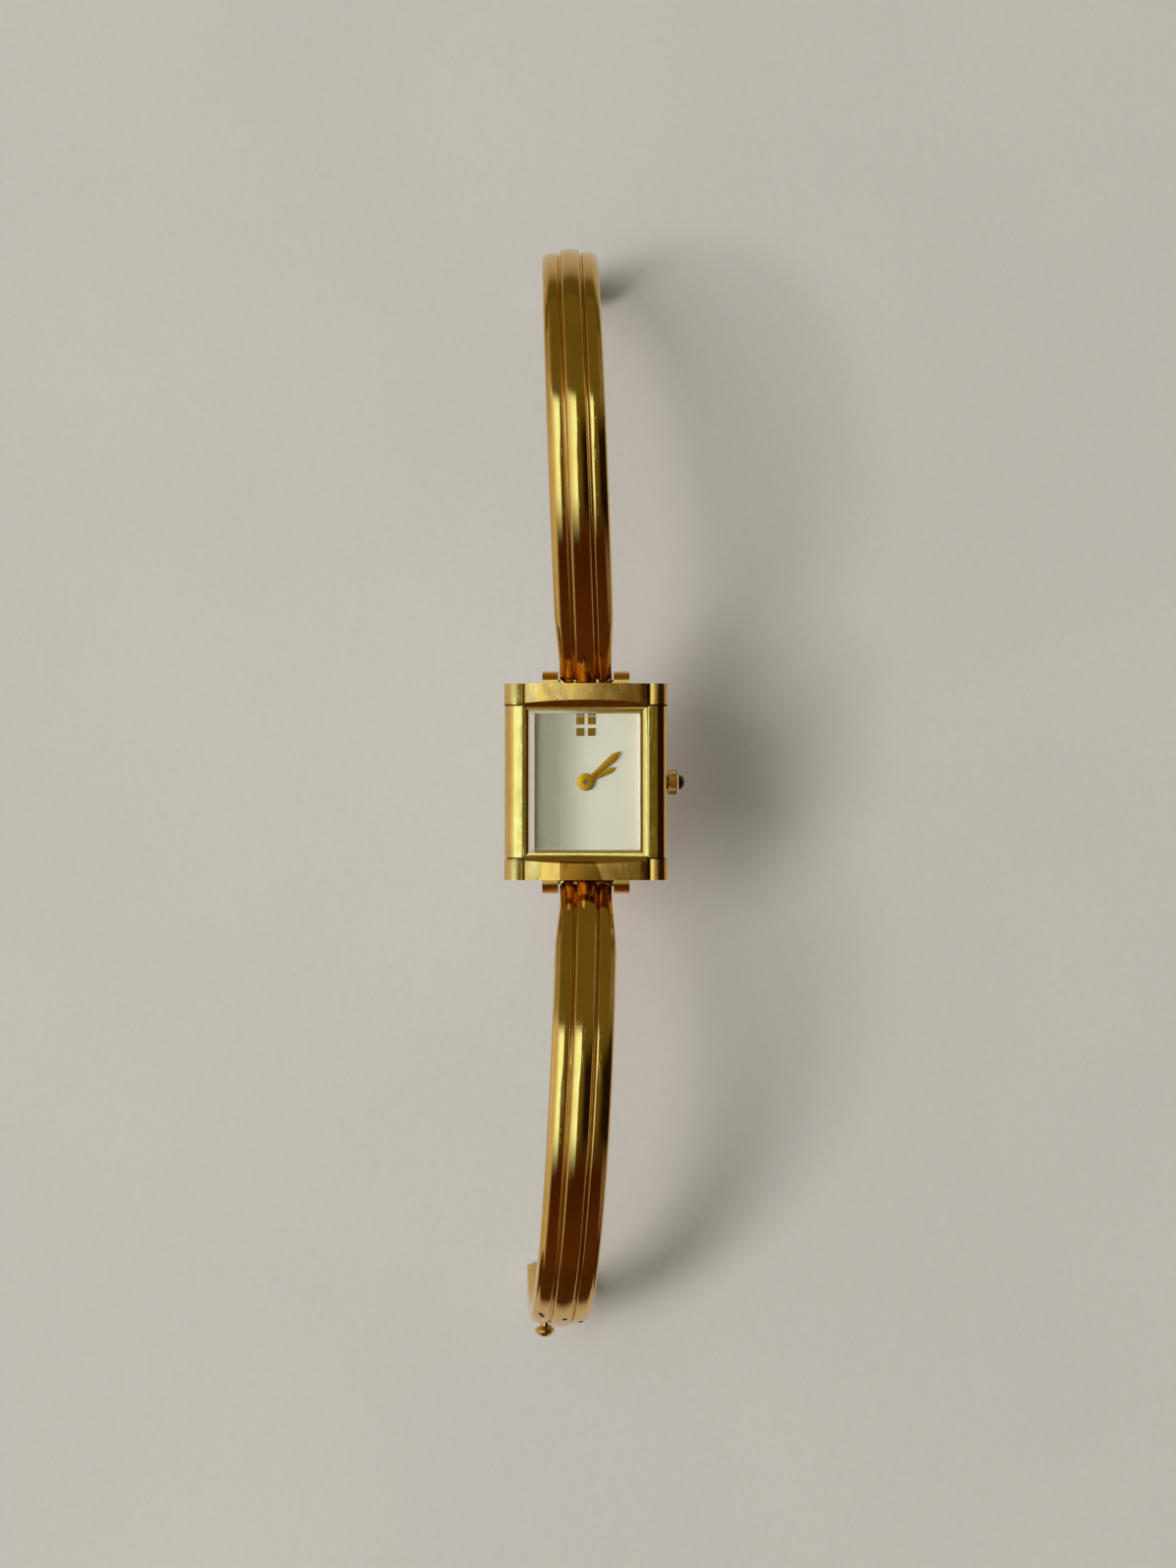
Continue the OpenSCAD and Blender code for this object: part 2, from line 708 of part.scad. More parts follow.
module rotor_magnet() {
    color([0.25, 0.25, 0.27]) difference() {
        post(rotor_at, magnet_r, mov_z + 0.47, mov_z + 1);
        post(rotor_at, arbor_r, 0, case_h);
    }
}

// Motor, circuit and cell

module stator() {
    leg = 0.7;
    color([0.65, 0.65, 0.67]) difference() {
        union() {
            slab([coil_x, rotor_at[1]], [coil_l, 1.9], coil_z - iron_t, coil_z);
            for (s = [-1, 1]) slab([coil_x + s * (coil_l - leg) / 2, (rotor_at[1] + coil_y - leg / 2) / 2],
                [leg, rotor_at[1] - coil_y + leg / 2], coil_z - iron_t, coil_z);
        }
        post(rotor_at, magnet_r + 0.2, 0, case_h);
    }
}

module coil_core() {
    color([0.65, 0.65, 0.67]) slab([coil_x, coil_y], [coil_l, 0.7], coil_z, coil_z + iron_t);
}

module coil_winding() {
    half = coil_l / 2 - 0.85;
    color([0.72, 0.4, 0.2]) difference() {
        bar_x(coil_r, coil_x - half, coil_x + half, coil_y, coil_z + iron_t / 2);
        slab([coil_x, coil_y], [2 * coil_l, 0.7], coil_z, coil_z + iron_t);
    }
}

module main_plate() {
    posts = concat(bridge_posts, board_posts);
    color([0.78, 0.78, 0.76]) difference() {
        union() {
            slab([0, 0], [mov_w, mov_l], plate_z, dial_z);
            for (p = posts) post(p, post_r, bridge_z + bridge_t, plate_z + over);
            post(clamp_post, post_r, mov_z + 0.12, plate_z + over);
        }
        for (p = concat(posts, [clamp_post])) post(p, screw_r + over, 0, plate_z - 0.3);
        for (p = [third_at, inter_at, rotor_at]) post(p, arbor_r + 0.03, 0, plate_z + 0.3);
        post(centre_at, cannon_r + run, 0, case_h);
        post(centre_at, hour_teeth * motion_mod / 2 + 0.15, motion_z, case_h);
        post(minute_at, minute_teeth * motion_mod / 2 + 0.15, motion_z, case_h);
        post(cell_at, cell_r + 0.1, 0, cell_z + cell_h + 0.13);
        post(lever_at, lever_pivot_r + slip / 2, 0, plate_z + 0.4);
        slab([pinion_x + crown_pull / 2 + 0.2, 0], [crown_pull + 0.9, 1.4], 0, case_h);
        bar_x(stem_r + run, pinion_x, mov_w, 0, stem_z);
        slab([lever_at[0] + crown_pull / 2, 0.05], [crown_pull + 0.6, 0.9], 0, stem_z);
    }
}

module train_bridge() {
    color([0.78, 0.7, 0.5]) difference() {
        translate([bridge_lo[0], bridge_lo[1], bridge_z])
            cube([bridge_hi[0] - bridge_lo[0], bridge_hi[1] - bridge_lo[1], bridge_t]);
        post(cell_at, cell_r + 0.15, 0, case_h);
        for (p = bridge_posts) post(p, screw_r + over, 0, case_h);
        for (p = [centre_at, third_at, inter_at, rotor_at]) post(p, arbor_r + 0.03, 0, case_h);
        post(clamp_post, post_r + 0.2, 0, case_h);
    }
}

module movement_screws() {
    color([0.7, 0.7, 0.72]) union() {
        for (p = concat(bridge_posts, board_posts)) {
            post(p, screw_head_r, bridge_z - 0.15, bridge_z);
            post(p, screw_r, bridge_z - over, plate_z - 0.5);
        }
        post(clamp_post, screw_head_r, mov_z - 0.1, mov_z + 0.02);
        post(clamp_post, screw_r, mov_z, plate_z - 0.5);
    }
}

module circuit_board() {
    color([0.1, 0.35, 0.2]) difference() {
        slab([0, (board_y + mov_l / 2) / 2], [mov_w - 0.4, mov_l / 2 - board_y - 0.1],
            bridge_z, bridge_z + bridge_t);
        for (p = board_posts) post(p, screw_r + over, 0, case_h);
    }
}

module chip() {
    color([0.08, 0.08, 0.09]) slab(chip_at, [2, 2], bridge_z + bridge_t, bridge_z + bridge_t + 0.45);
}

module quartz_can() {
    color([0.75, 0.75, 0.77])
        bar_x(quartz_r, 0.6, 0.6 + quartz_l, quartz_y, bridge_z + bridge_t + quartz_r + slip);
}

module battery() {
    color([0.75, 0.75, 0.77]) union() {
        post(cell_at, cell_r, cell_z, cell_z + cell_h - 0.3);
        post(cell_at, cell_r - 0.4, cell_z, cell_z + cell_h);
    }
}

module battery_clamp() {
    top = clamp_post[1] + 0.7;
    bottom = cell_at[1] - cell_r + 0.4;
    color([0.7, 0.68, 0.6]) difference() {
        slab([cell_at[0], (top + bottom) / 2], [1.4, top - bottom], mov_z + 0.02, cell_z - 0.03);
        post(clamp_post, screw_r + over, 0, case_h);
    }
}

module battery_contact() {
    z0 = cell_z + cell_h + over;
    color([0.7, 0.68, 0.6]) post(cell_at, 1.2, z0, z0 + 0.12);
}

module movement_holder() {
    color([0.92, 0.92, 0.9]) difference() {
        ring([mov_w + 2 * holder_wall, mov_l + 2 * holder_wall], [mov_w + 2 * slip, mov_l + 2 * slip],
            mov_z + 0.35, dial_z);
        bar_x(tube_r, 0, case_w, 0, stem_z);
    }
}

// Hinges and arms

// Sets the bottom hinge (s = 1) out of square by the turn and fall of its pin
module askew(s) {
    translate([0, hinge_y, hinge_z]) rotate([0, s * pin_fall, s * pin_turn])
        translate([0, -hinge_y, -hinge_z]) children();
}

// Puts a closed arm in its open pose, round the square pin or round the skewed one (s = 1)
module open_arm(s) {
    translate([0, hinge_y, hinge_z]) rotate([0, s * pin_fall, s * pin_turn]) rotate([open_angle, 0, 0])
        rotate([0, -s * pin_fall, 0]) rotate([0, 0, -s * pin_turn])
        translate([0, -hinge_y, -hinge_z]) children();
}

// Leans the closed arm sideways round its hinge
module lean_arm() {
    translate([0, 0, hinge_z]) rotate([0, arm_lean, 0]) translate([0, 0, -hinge_z]) children();
}

// Turns a cross section (height over the loop centre, X) round the loop from angle a0 to a1
module sweep(a0, a1) {
    translate([0, 0, loop_z]) rotate([90, 0, 90]) rotate([0, 0, a0])
        rotate_extrude(angle = a1 - a0, $fn = 256) children();
}

// A curved block of width w round x, between heights u0 and u1 over the middle line
module curved(u0, u1, x, w, a0, a1) {
    sweep(a0, a1) translate([loop_r + u0, x - w / 2]) square([u1 - u0, w]);
}

// A round pin that points out of the loop at angle a
module radial(a, x, r, u0, u1) {
    translate([0, 0, loop_z]) rotate([a - 90, 0, 0]) translate([x, 0, loop_r + u0])
        cylinder(r = r, h = u1 - u0, $fn = 48);
}

// Reeded cross section of an arm of width w
module arm_section(w) {
    half = w / 2;
    up = concat(
        arc_pts([-t_in + inner_round, half - inner_round], inner_round, 180, 90, 5),
        arc_pts([t_side - side_round, half - side_round], side_round, 90, 8, 8),
        [[t_side, mid_w / 2 + reed_w + 0.12], [t_side - 0.06, mid_w / 2 + reed_w],
         [t_side - reed_d, mid_w / 2 + reed_w * 0.65], [t_side - reed_d, mid_w / 2 + reed_w * 0.3]],
        [[t_side, mid_w / 2]],
        arc_pts([t_mid - 0.3, mid_w / 2 - 0.3], 0.3, 80, 10, 4));
    translate([loop_r, 0]) polygon(concat(up, flip_y(up)));
}

// Cuts that narrow an arm of width w where it runs between the ears
module root_cuts(w) {
    taper = atan((w - root_w) / 2 / root_taper);
    translate([0, hinge_y, hinge_z]) rotate([hinge_a - 90, 0, 0]) for (s = [0, 1]) mirror([s, 0, 0])
        translate([root_w / 2, root_len, -4]) {
            rotate([0, 0, -taper]) cube([3, root_taper + 2, 8]);
            translate([0, -6, 0]) cube([3, 6.1, 8]);
        }
}

// One arm of width w from the hinge to its end angle, with its barrel, in the closed pose
module arm_solid(end_a, w, s) {
    union() {
        difference() {
            lean_arm() sweep(end_a, hinge_a) arm_section(w);
            askew(s) root_cuts(w);
        }
        askew(s) bar_x(knuckle_r, -root_w / 2, root_w / 2, hinge_y, hinge_z);
    }
}

// Everything below the flat feet
module below_feet() {
    translate([-20, -100, foot_z - 20]) cube([40, 200, 20]);
}

module hinge_bore() {
    bar_x(pin_r + run, -case_w / 2, case_w / 2, hinge_y, hinge_z);
}

module hinge_pin() {
    color(gold) bar_x(pin_r, -ear_gap / 2 - ear_t + 0.05, ear_gap / 2 + ear_t - 0.05, hinge_y, hinge_z);
}

module hinge_pin_top() { hinge_pin(); }
module hinge_pin_bottom() { mirror([0, 1, 0]) askew(1) hinge_pin(); }

module top_arm() {
    root_end = end_top + (tongue_root + slip) * deg_mm;
    color(gold) difference() {
        open_arm(0) difference() {
            arm_solid(end_top, arm_w, 0);
            hinge_bore();
            lean_arm() {
                curved(tongue_lo - slip, tongue_hi + slip, 0, tongue_w + 2 * slip, end_top - 2, root_end);
                tongue_rivet_set(slip / 2, -t_in - 1);
            }
        }
        below_feet();
    }
}

// The rivets that hold the tongue, made larger by play for their holes
module tongue_rivet_set(play, u0) {
    for (s = tongue_rivets_s)
        radial(end_top + s * deg_mm, 0, tongue_rivet_r + play, u0, tongue_rivet_top + play);
}

// Spring tongue with a window for the hook of the catch
module clasp_tongue() {
    seam = -90 + seam_shift * deg_mm;
    color([0.75, 0.72, 0.62]) difference() {
        open_arm(0) lean_arm() difference() {
            curved(tongue_lo, tongue_hi, 0, tongue_w, seam - tongue_len * deg_mm,
                end_top + tongue_root * deg_mm);
            curved(tongue_lo - 1, tongue_hi + 1, catch_x, hook_w + 2 * window_play,
                seam - (hook_s + hook_l + window_play) * deg_mm,
                seam - (hook_s - window_play) * deg_mm);
            tongue_rivet_set(slip / 2, -t_in - 1);
        }
        below_feet();
    }
}

module tongue_rivets() {
    color(gold) open_arm(0) lean_arm() tongue_rivet_set(0, -t_in);
}

// The bottom arm and what it carries are drawn like the top arm and mirrored
module bottom_pose() {
    mirror([0, 1, 0]) open_arm(1) lean_arm() children();
}

// Angle at a distance s from the end of the bottom arm
function arm_at(s) = end_bottom + s * deg_mm;

// Slot for the tongue, pocket for the catch, seat for the cover and bore for the button
module clasp_hollows() {
    curved(slot_lo, slot_hi, 0, tongue_w + 2 * tongue_play, end_bottom - 2, arm_at(tongue_len + 0.4));
    curved(cover_hi, slot_lo + over, catch_x, catch_w + 0.3, arm_at(pocket_s), arm_at(catch_end + 0.3));
    curved(-t_in - 1, cover_hi + over, catch_x, cover_w, arm_at(cover_s), arm_at(cover_end));
    radial(arm_at(button_s), button_x, shaft_r + run, slot_lo - over, t_mid + 1);
    radial(arm_at(button_s), button_x, flange_r + run, spring_seat, t_mid + 1);
    radial(arm_at(button_s), button_x, button_r + 0.15, t_side - 0.02, t_mid + 1);
    cover_rivet_set(slip / 2, -t_in);
}

// The rivets that hold the cover, made larger by play for their holes
module cover_rivet_set(play, u0) {
    for (x = cover_rivets_x) radial(arm_at(rivet_s), x, cover_rivet_r + play, u0, cover_rivet_top + play);
}

module bottom_arm() {
    color(gold) difference() {
        mirror([0, 1, 0]) open_arm(1) difference() {
            arm_solid(end_bottom, clasp_arm_w, 1);
            askew(1) hinge_bore();
            lean_arm() clasp_hollows();
        }
        below_feet();
    }
}

module clasp_cover() {
    color(gold) bottom_pose() difference() {
        curved(-t_in, cover_hi, catch_x, cover_w - 2 * slip, arm_at(cover_s + slip),
            arm_at(cover_end - slip));
        cover_rivet_set(slip / 2, -t_in - 1);
    }
}

module cover_rivets() {
    color(gold) bottom_pose() cover_rivet_set(0, -t_in);
}

// Plate under the tongue slot, with the hook at one end and the button at the other
module clasp_catch() {
    color([0.75, 0.72, 0.62]) bottom_pose() union() {
        curved(catch_lo, catch_hi, catch_x, catch_w, arm_at(catch_s), arm_at(catch_end));
        curved(catch_hi - over, catch_hi + hook_h, catch_x, hook_w, arm_at(hook_s),
            arm_at(hook_s + hook_l));
    }
}

// Sleeve that stands for the turns of the return spring
module clasp_spring() {
    color([0.7, 0.7, 0.72]) bottom_pose() difference() {
        radial(arm_at(button_s), button_x, spring_or, spring_seat + slip, flange_lo - slip);
        radial(arm_at(button_s), button_x, spring_ir, spring_seat - 1, flange_lo + 1);
    }
}

// Round head, neck and flange on one shaft, turned round its own axis
module clasp_button() {
    low = t_side + button_neck;
    dome = [for (i = [1:6]) [button_r * cos(i * 15), low + button_h * (0.3 + 0.7 * sin(i * 15))]];
    color(gold) bottom_pose() translate([0, 0, loop_z]) rotate([arm_at(button_s) - 90, 0, 0])
        translate([button_x, 0, loop_r]) rotate_extrude() polygon(concat(
            [[0, catch_hi + slip], [shaft_r, catch_hi + slip], [shaft_r, flange_lo]],
            [[flange_r, flange_lo], [flange_r, flange_hi], [shaft_r, flange_hi], [shaft_r, low]],
            [[button_r * 0.72, low], [button_r, low + button_h * 0.24]],
            dome));
}

case_body();
crystal();
crystal_gasket();
dial_frame();
case_back();
back_gasket();
crown_tube();
crown();
crown_stone();
crown_gasket();
setting_stem();
stem_pinion();
setting_lever();
lever_pin();
dial();
hour_markers();
hour_hand();
minute_hand();
cannon_pinion();
centre_wheel();
hour_wheel();
minute_wheel();
minute_wheel_post();
third_wheel();
intermediate_wheel();
rotor_pinion();
rotor_magnet();
stator();
coil_core();
coil_winding();
main_plate();
train_bridge();
movement_screws();
circuit_board();
chip();
quartz_can();
battery();
battery_clamp();
battery_contact();
movement_holder();
hinge_pin_top();
hinge_pin_bottom();
top_arm();
bottom_arm();
clasp_tongue();
tongue_rivets();
clasp_button();
clasp_catch();
clasp_spring();
clasp_cover();
cover_rivets();
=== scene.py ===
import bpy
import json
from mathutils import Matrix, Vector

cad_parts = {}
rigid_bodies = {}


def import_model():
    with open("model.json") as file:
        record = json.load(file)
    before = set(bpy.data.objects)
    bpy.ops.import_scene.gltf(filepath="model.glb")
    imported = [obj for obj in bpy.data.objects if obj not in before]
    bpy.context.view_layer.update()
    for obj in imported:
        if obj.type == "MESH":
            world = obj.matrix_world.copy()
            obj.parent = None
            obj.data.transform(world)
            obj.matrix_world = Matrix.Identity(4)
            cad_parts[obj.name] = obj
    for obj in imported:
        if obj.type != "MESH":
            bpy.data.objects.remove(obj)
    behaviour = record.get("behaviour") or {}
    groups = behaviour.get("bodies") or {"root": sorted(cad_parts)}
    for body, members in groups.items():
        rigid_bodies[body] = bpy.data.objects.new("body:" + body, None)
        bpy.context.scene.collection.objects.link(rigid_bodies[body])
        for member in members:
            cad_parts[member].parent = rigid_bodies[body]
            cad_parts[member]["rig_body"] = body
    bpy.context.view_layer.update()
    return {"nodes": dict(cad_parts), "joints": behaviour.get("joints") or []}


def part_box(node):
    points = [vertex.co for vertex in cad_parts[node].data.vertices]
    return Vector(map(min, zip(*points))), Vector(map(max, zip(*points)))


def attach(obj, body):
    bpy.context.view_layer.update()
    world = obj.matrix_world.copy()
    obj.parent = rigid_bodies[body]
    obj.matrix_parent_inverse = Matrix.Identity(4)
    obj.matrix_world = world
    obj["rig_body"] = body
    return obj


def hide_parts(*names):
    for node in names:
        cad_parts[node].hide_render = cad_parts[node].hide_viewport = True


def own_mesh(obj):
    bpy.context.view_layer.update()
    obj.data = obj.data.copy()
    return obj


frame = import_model()

import json
import math

import bmesh
import bpy
from mathutils import Matrix, Quaternion, Vector

MM = 0.001
TO_MM = 1000
nodes = frame["nodes"]
joints = {j["name"]: j for j in frame["joints"]}


def box_mm(node):
    """Low and high corner of a CAD node, in millimetres."""
    return [corner * TO_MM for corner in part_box(node)]


# Sizes shared with the solids

# all in millimetres; an arm is measured along its length from its end (s), across it (x)
# and outward from its middle line (u)

HINGE_Y, HINGE_Z = (c * TO_MM for c in joints["top_arm_hinge"]["pos_m"][1:])
STEM_Z = joints["crown_turn"]["pos_m"][2] * TO_MM
FOOT_Z = box_mm("bottom_arm")[0].z
CASE_TOP = box_mm("case_body")[1].z

# the loop of the two closed arms
LOOP_R = 28.7
LOOP_Z = HINGE_Z - math.sqrt(LOOP_R ** 2 - HINGE_Y ** 2)
HINGE_A = math.degrees(math.acos(HINGE_Y / LOOP_R))
DEG_MM = math.degrees(1 / LOOP_R)
# how far an arm is swung open, and how far it leans to the left
OPEN = math.radians(joints["top_arm_hinge"]["range_deg"][1])
LEAN = math.radians(2.3)
# where the arms end, beside the seam of the closed loop
SEAM, SEAM_GAP = 1.5, 0.3
END_BOTTOM = -90 - SEAM * DEG_MM
END_TOP = -90 + (SEAM + SEAM_GAP) * DEG_MM

# an arm's section: inner face, side reeds and middle reed; half its width, by side, and at its root
T_IN, T_SIDE, T_MID = 1.25, 0.85, 1.25
SIDE_EDGE, GROOVE_OUT, GROOVE_IN, MID_EDGE, GROOVE_U = 1.42, 1.27, 1.13, 1.05, 0.55
HALF, ROOT_HALF = {1: 3.125, -1: 3.25}, 2.8
ROOT_LENGTH, ROOT_TAPER = 2.5, 7.0
HINGE_BORE_R, BARREL_R = 0.5, 1.2

# the clasp
TONGUE = (-0.27, 0.32)
TONGUE_W, TONGUE_DEPTH = 4.84, 5.02
SLOT_W, SLOT_DEPTH, PLAY = 4.96, 4.1, 0.08
RIVET_R, RIVET_TOP, RIVETS_S = 0.41, 0.61, (1.6, 3.4)
BUTTON_S, BUTTON_X = 11.5, -1.25
BORE_R, SPRING_BORE_R, SEAT_R = 0.55, 0.85, 1.27
SPRING_SEAT, BUTTON_SEAT = -0.05, T_SIDE - 0.02
CATCH_X, CATCH_SLOT_W, CATCH_SLOT_S = -0.5, 3.1, (0.6, BUTTON_S + 1.7)
COVER_HI, COVER_W, COVER_S = -T_IN + 0.2, 3.9, (0.3, BUTTON_S + 3.6)
COVER_RIVET_R, COVER_RIVET_TOP, COVER_RIVET_S, COVER_RIVET_X = 0.26, 0.3, BUTTON_S + 2.6, 1.1

# the case: top of the rails, the cut lines round its corner blocks, and where the end bars begin
RAIL_TOP = 6.18
CUT_X, CUT_Y, CUT_W = 6.60, 8.10, 0.16
BAR_Y = 8.6

# the bottom hinge pin sits a little out of square
PIN = Vector(joints["bottom_arm_hinge"]["axis"]).normalized()
SKEW = Matrix.Rotation(math.atan2(-PIN.y, PIN.x), 3, "Z") @ Matrix.Rotation(math.asin(-PIN.z), 3, "Y")
SWING = Matrix.Rotation(OPEN, 3, "X")
POSE = {1: SWING @ Matrix.Rotation(LEAN, 3, "Y"),
        -1: SKEW @ SWING @ SKEW.transposed() @ Matrix.Rotation(LEAN, 3, "Y")}


def at_end(s):
    """Angle of a point s mm from the end of the bottom arm."""
    return END_BOTTOM + s * DEG_MM


# Shader helpers

class Value:
    """A shader socket with ordinary arithmetic."""

    def __init__(self, shade, socket):
        self.shade, self.socket = shade, socket

    def calc(self, operation, *others, first=True):
        args = (self, *others) if first else (*others, self)
        return self.shade.node("ShaderNodeMath", dict(enumerate(args)), operation=operation)

    def __add__(self, other):
        return self.calc("ADD", other)

    def __sub__(self, other):
        return self.calc("SUBTRACT", other)

    def __mul__(self, other):
        return self.calc("MULTIPLY", other)

    def __rsub__(self, other):
        return self.calc("SUBTRACT", other, first=False)

    __radd__ = __add__
    __rmul__ = __mul__

    def most(self, other):
        return self.calc("MAXIMUM", other)

    def size(self):
        return self.calc("ABSOLUTE")

    def wave(self):
        return self.calc("SINE")

    def ramp(self, low, high, to_low=0.0, to_high=1.0):
        """Smooth step from to_low at low to to_high at high."""
        return self.shade.node("ShaderNodeMapRange", {0: self, 1: low, 2: high, 3: to_low, 4: to_high},
                               interpolation_type="SMOOTHSTEP")


class Shade:
    """The nodes of one material or of the world."""

    def __init__(self, owner):
        owner.use_nodes = True
        self.owner, self.tree = owner, owner.node_tree
        self.tree.nodes.clear()

    def node(self, kind, inputs=None, out=0, **settings):
        """Adds a node: its settings first, then the values or links of its sockets. Gives back its output."""
        n = self.tree.nodes.new(kind)
        for key, value in settings.items():
            setattr(n, key, value)
        for key, value in (inputs or {}).items():
            if isinstance(value, Value):
                self.tree.links.new(value.socket, n.inputs[key])
            else:
                n.inputs[key].default_value = value
        return Value(self, n.outputs[out]) if n.outputs else None

    def place(self, scale=(1, 1, 1), turn=(0, 0, 0)):
        """Position on the piece in millimetres, stretched and turned."""
        return self.node("ShaderNodeMapping", {
            "Vector": self.node("ShaderNodeTexCoord", out=3),
            "Scale": [TO_MM * s for s in scale], "Rotation": [math.radians(a) for a in turn]})

    def split(self, vector):
        """X, Y and Z of a vector."""
        parts = self.node("ShaderNodeSeparateXYZ", {0: vector})
        return [Value(self, o) for o in parts.socket.node.outputs]

    def axes(self):
        """X, Y and Z on the piece in millimetres."""
        return self.split(self.place())

    def towards(self):
        """X, Y and Z of the direction that the room is seen in."""
        return self.split(self.node("ShaderNodeTexCoord", out=0))

    def noise(self, size, vector=None, detail=2.0, rough=0.5):
        """Cloudy noise whose forms are about size mm across."""
        return self.node("ShaderNodeTexNoise", {"Vector": vector or self.place(), "Scale": 1 / size,
                                                "Detail": detail, "Roughness": rough})

    def cells(self, size):
        """Distance to the nearest of scattered points, about size mm apart."""
        return self.node("ShaderNodeTexVoronoi", {"Vector": self.place(), "Scale": 1 / size}, feature="F1")

    def mix(self, factor, low, high):
        """Goes from one colour to another as the factor goes from 0 to 1."""
        a, b = ((*c, 1) if isinstance(c, tuple) else c for c in (low, high))
        return self.node("ShaderNodeMix", {0: factor, 6: a, 7: b}, out=2, data_type="RGBA")

    def light_path(self, ray):
        """1 where the surface is met by that kind of ray."""
        return self.node("ShaderNodeLightPath", out=ray)

    def bump(self, height, depth, strength=1.0, under=None):
        """Relief of height times depth mm, over another relief if one is given."""
        inputs = {"Height": height, "Distance": depth * MM, "Strength": strength}
        if under:
            inputs["Normal"] = under
        return self.node("ShaderNodeBump", inputs)

    def surface(self, **inputs):
        """The principled shader, its inputs named with _ for a space."""
        named = {key.replace("_", " "): value for key, value in inputs.items()}
        return self.node("ShaderNodeBsdfPrincipled", named)

    def finish(self, shader):
        """Ends the nodes in a shader and gives back their material or world."""
        kind = "World" if isinstance(self.owner, bpy.types.World) else "Material"
        self.node("ShaderNodeOutput" + kind, {"Surface": shader})
        return self.owner


def material(name):
    """A new material, still without nodes."""
    return Shade(bpy.data.materials.new(name))


def times(numbers, factors):
    """A colour or a place with each of its numbers times its own factor."""
    return tuple(n * k for n, k in zip(numbers, factors))


def band(value, low, high, soft):
    """1 between low and high, with soft edges outside them."""
    return value.ramp(low - soft, low) * value.ramp(high + soft, high)


# Finishes

def fine_scratches(m, turns, size, length, share):
    """Hairlines in several directions, 1 in a line and 0 between."""
    lines = None
    for turn in turns:
        streak = m.noise(size, m.place((1, 1 / length, 1), (0, 0, turn)), detail=1.0)
        line = streak.ramp(share, share + 0.05)
        lines = line if lines is None else lines.most(line)
    return lines


def polished_gold(name, colour, rough, wear, camber=0.0, pits=()):
    """Polished gold with clouded patches, hairlines and small dings.

    camber tips its shine along the arms; pits are places of dull dark pits, longer in z than across.
    """
    m = material(name)
    cloud = m.noise(2.6, detail=4.0)
    smear = m.noise(0.9, m.place((1, 0.22, 1)), detail=3.0)
    lines = fine_scratches(m, (8, -27, 64), 0.22, 22.0, 0.68)
    dings = m.cells(2.3).ramp(0.055, 0.02) * m.noise(3.1, detail=0.0).ramp(0.52, 0.6)
    tone = m.mix(cloud.ramp(0.3, 0.72), colour, times(colour, (0.95, 0.90, 0.80)))
    tone = m.mix(dings * 0.8, tone, (0.20, 0.11, 0.03))
    roughness = rough + cloud.ramp(0.35, 0.75) * rough * 0.5 + smear.ramp(0.5, 0.8) * rough * 0.6 \
        + lines * wear * 0.25 + dings * 0.3
    relief = m.bump(smear * 0.25 + m.noise(6.0, detail=1.0) * 0.5, 0.010, 0.5)
    relief = m.bump(0.0 - lines * 0.35 - dings * 2.0, 0.012, wear, relief)
    if camber:
        relief = m.bump(m.axes()[1].size() * camber, 1.0, 1.0, relief)
    metallic = 1.0
    squeeze = (1, 1, 0.3)
    for middle in pits:
        away = m.node("ShaderNodeVectorMath", {0: m.place(squeeze), 1: times(middle, squeeze)},
                      out=1, operation="DISTANCE")
        pit = away.ramp(0.34, 0.20)
        tone = m.mix(pit, tone, (0.05, 0.02, 0.005))
        metallic = metallic - pit
        roughness = roughness + pit * 0.6
    return m.finish(m.surface(Base_Color=tone, Metallic=metallic, Roughness=roughness, Normal=relief))


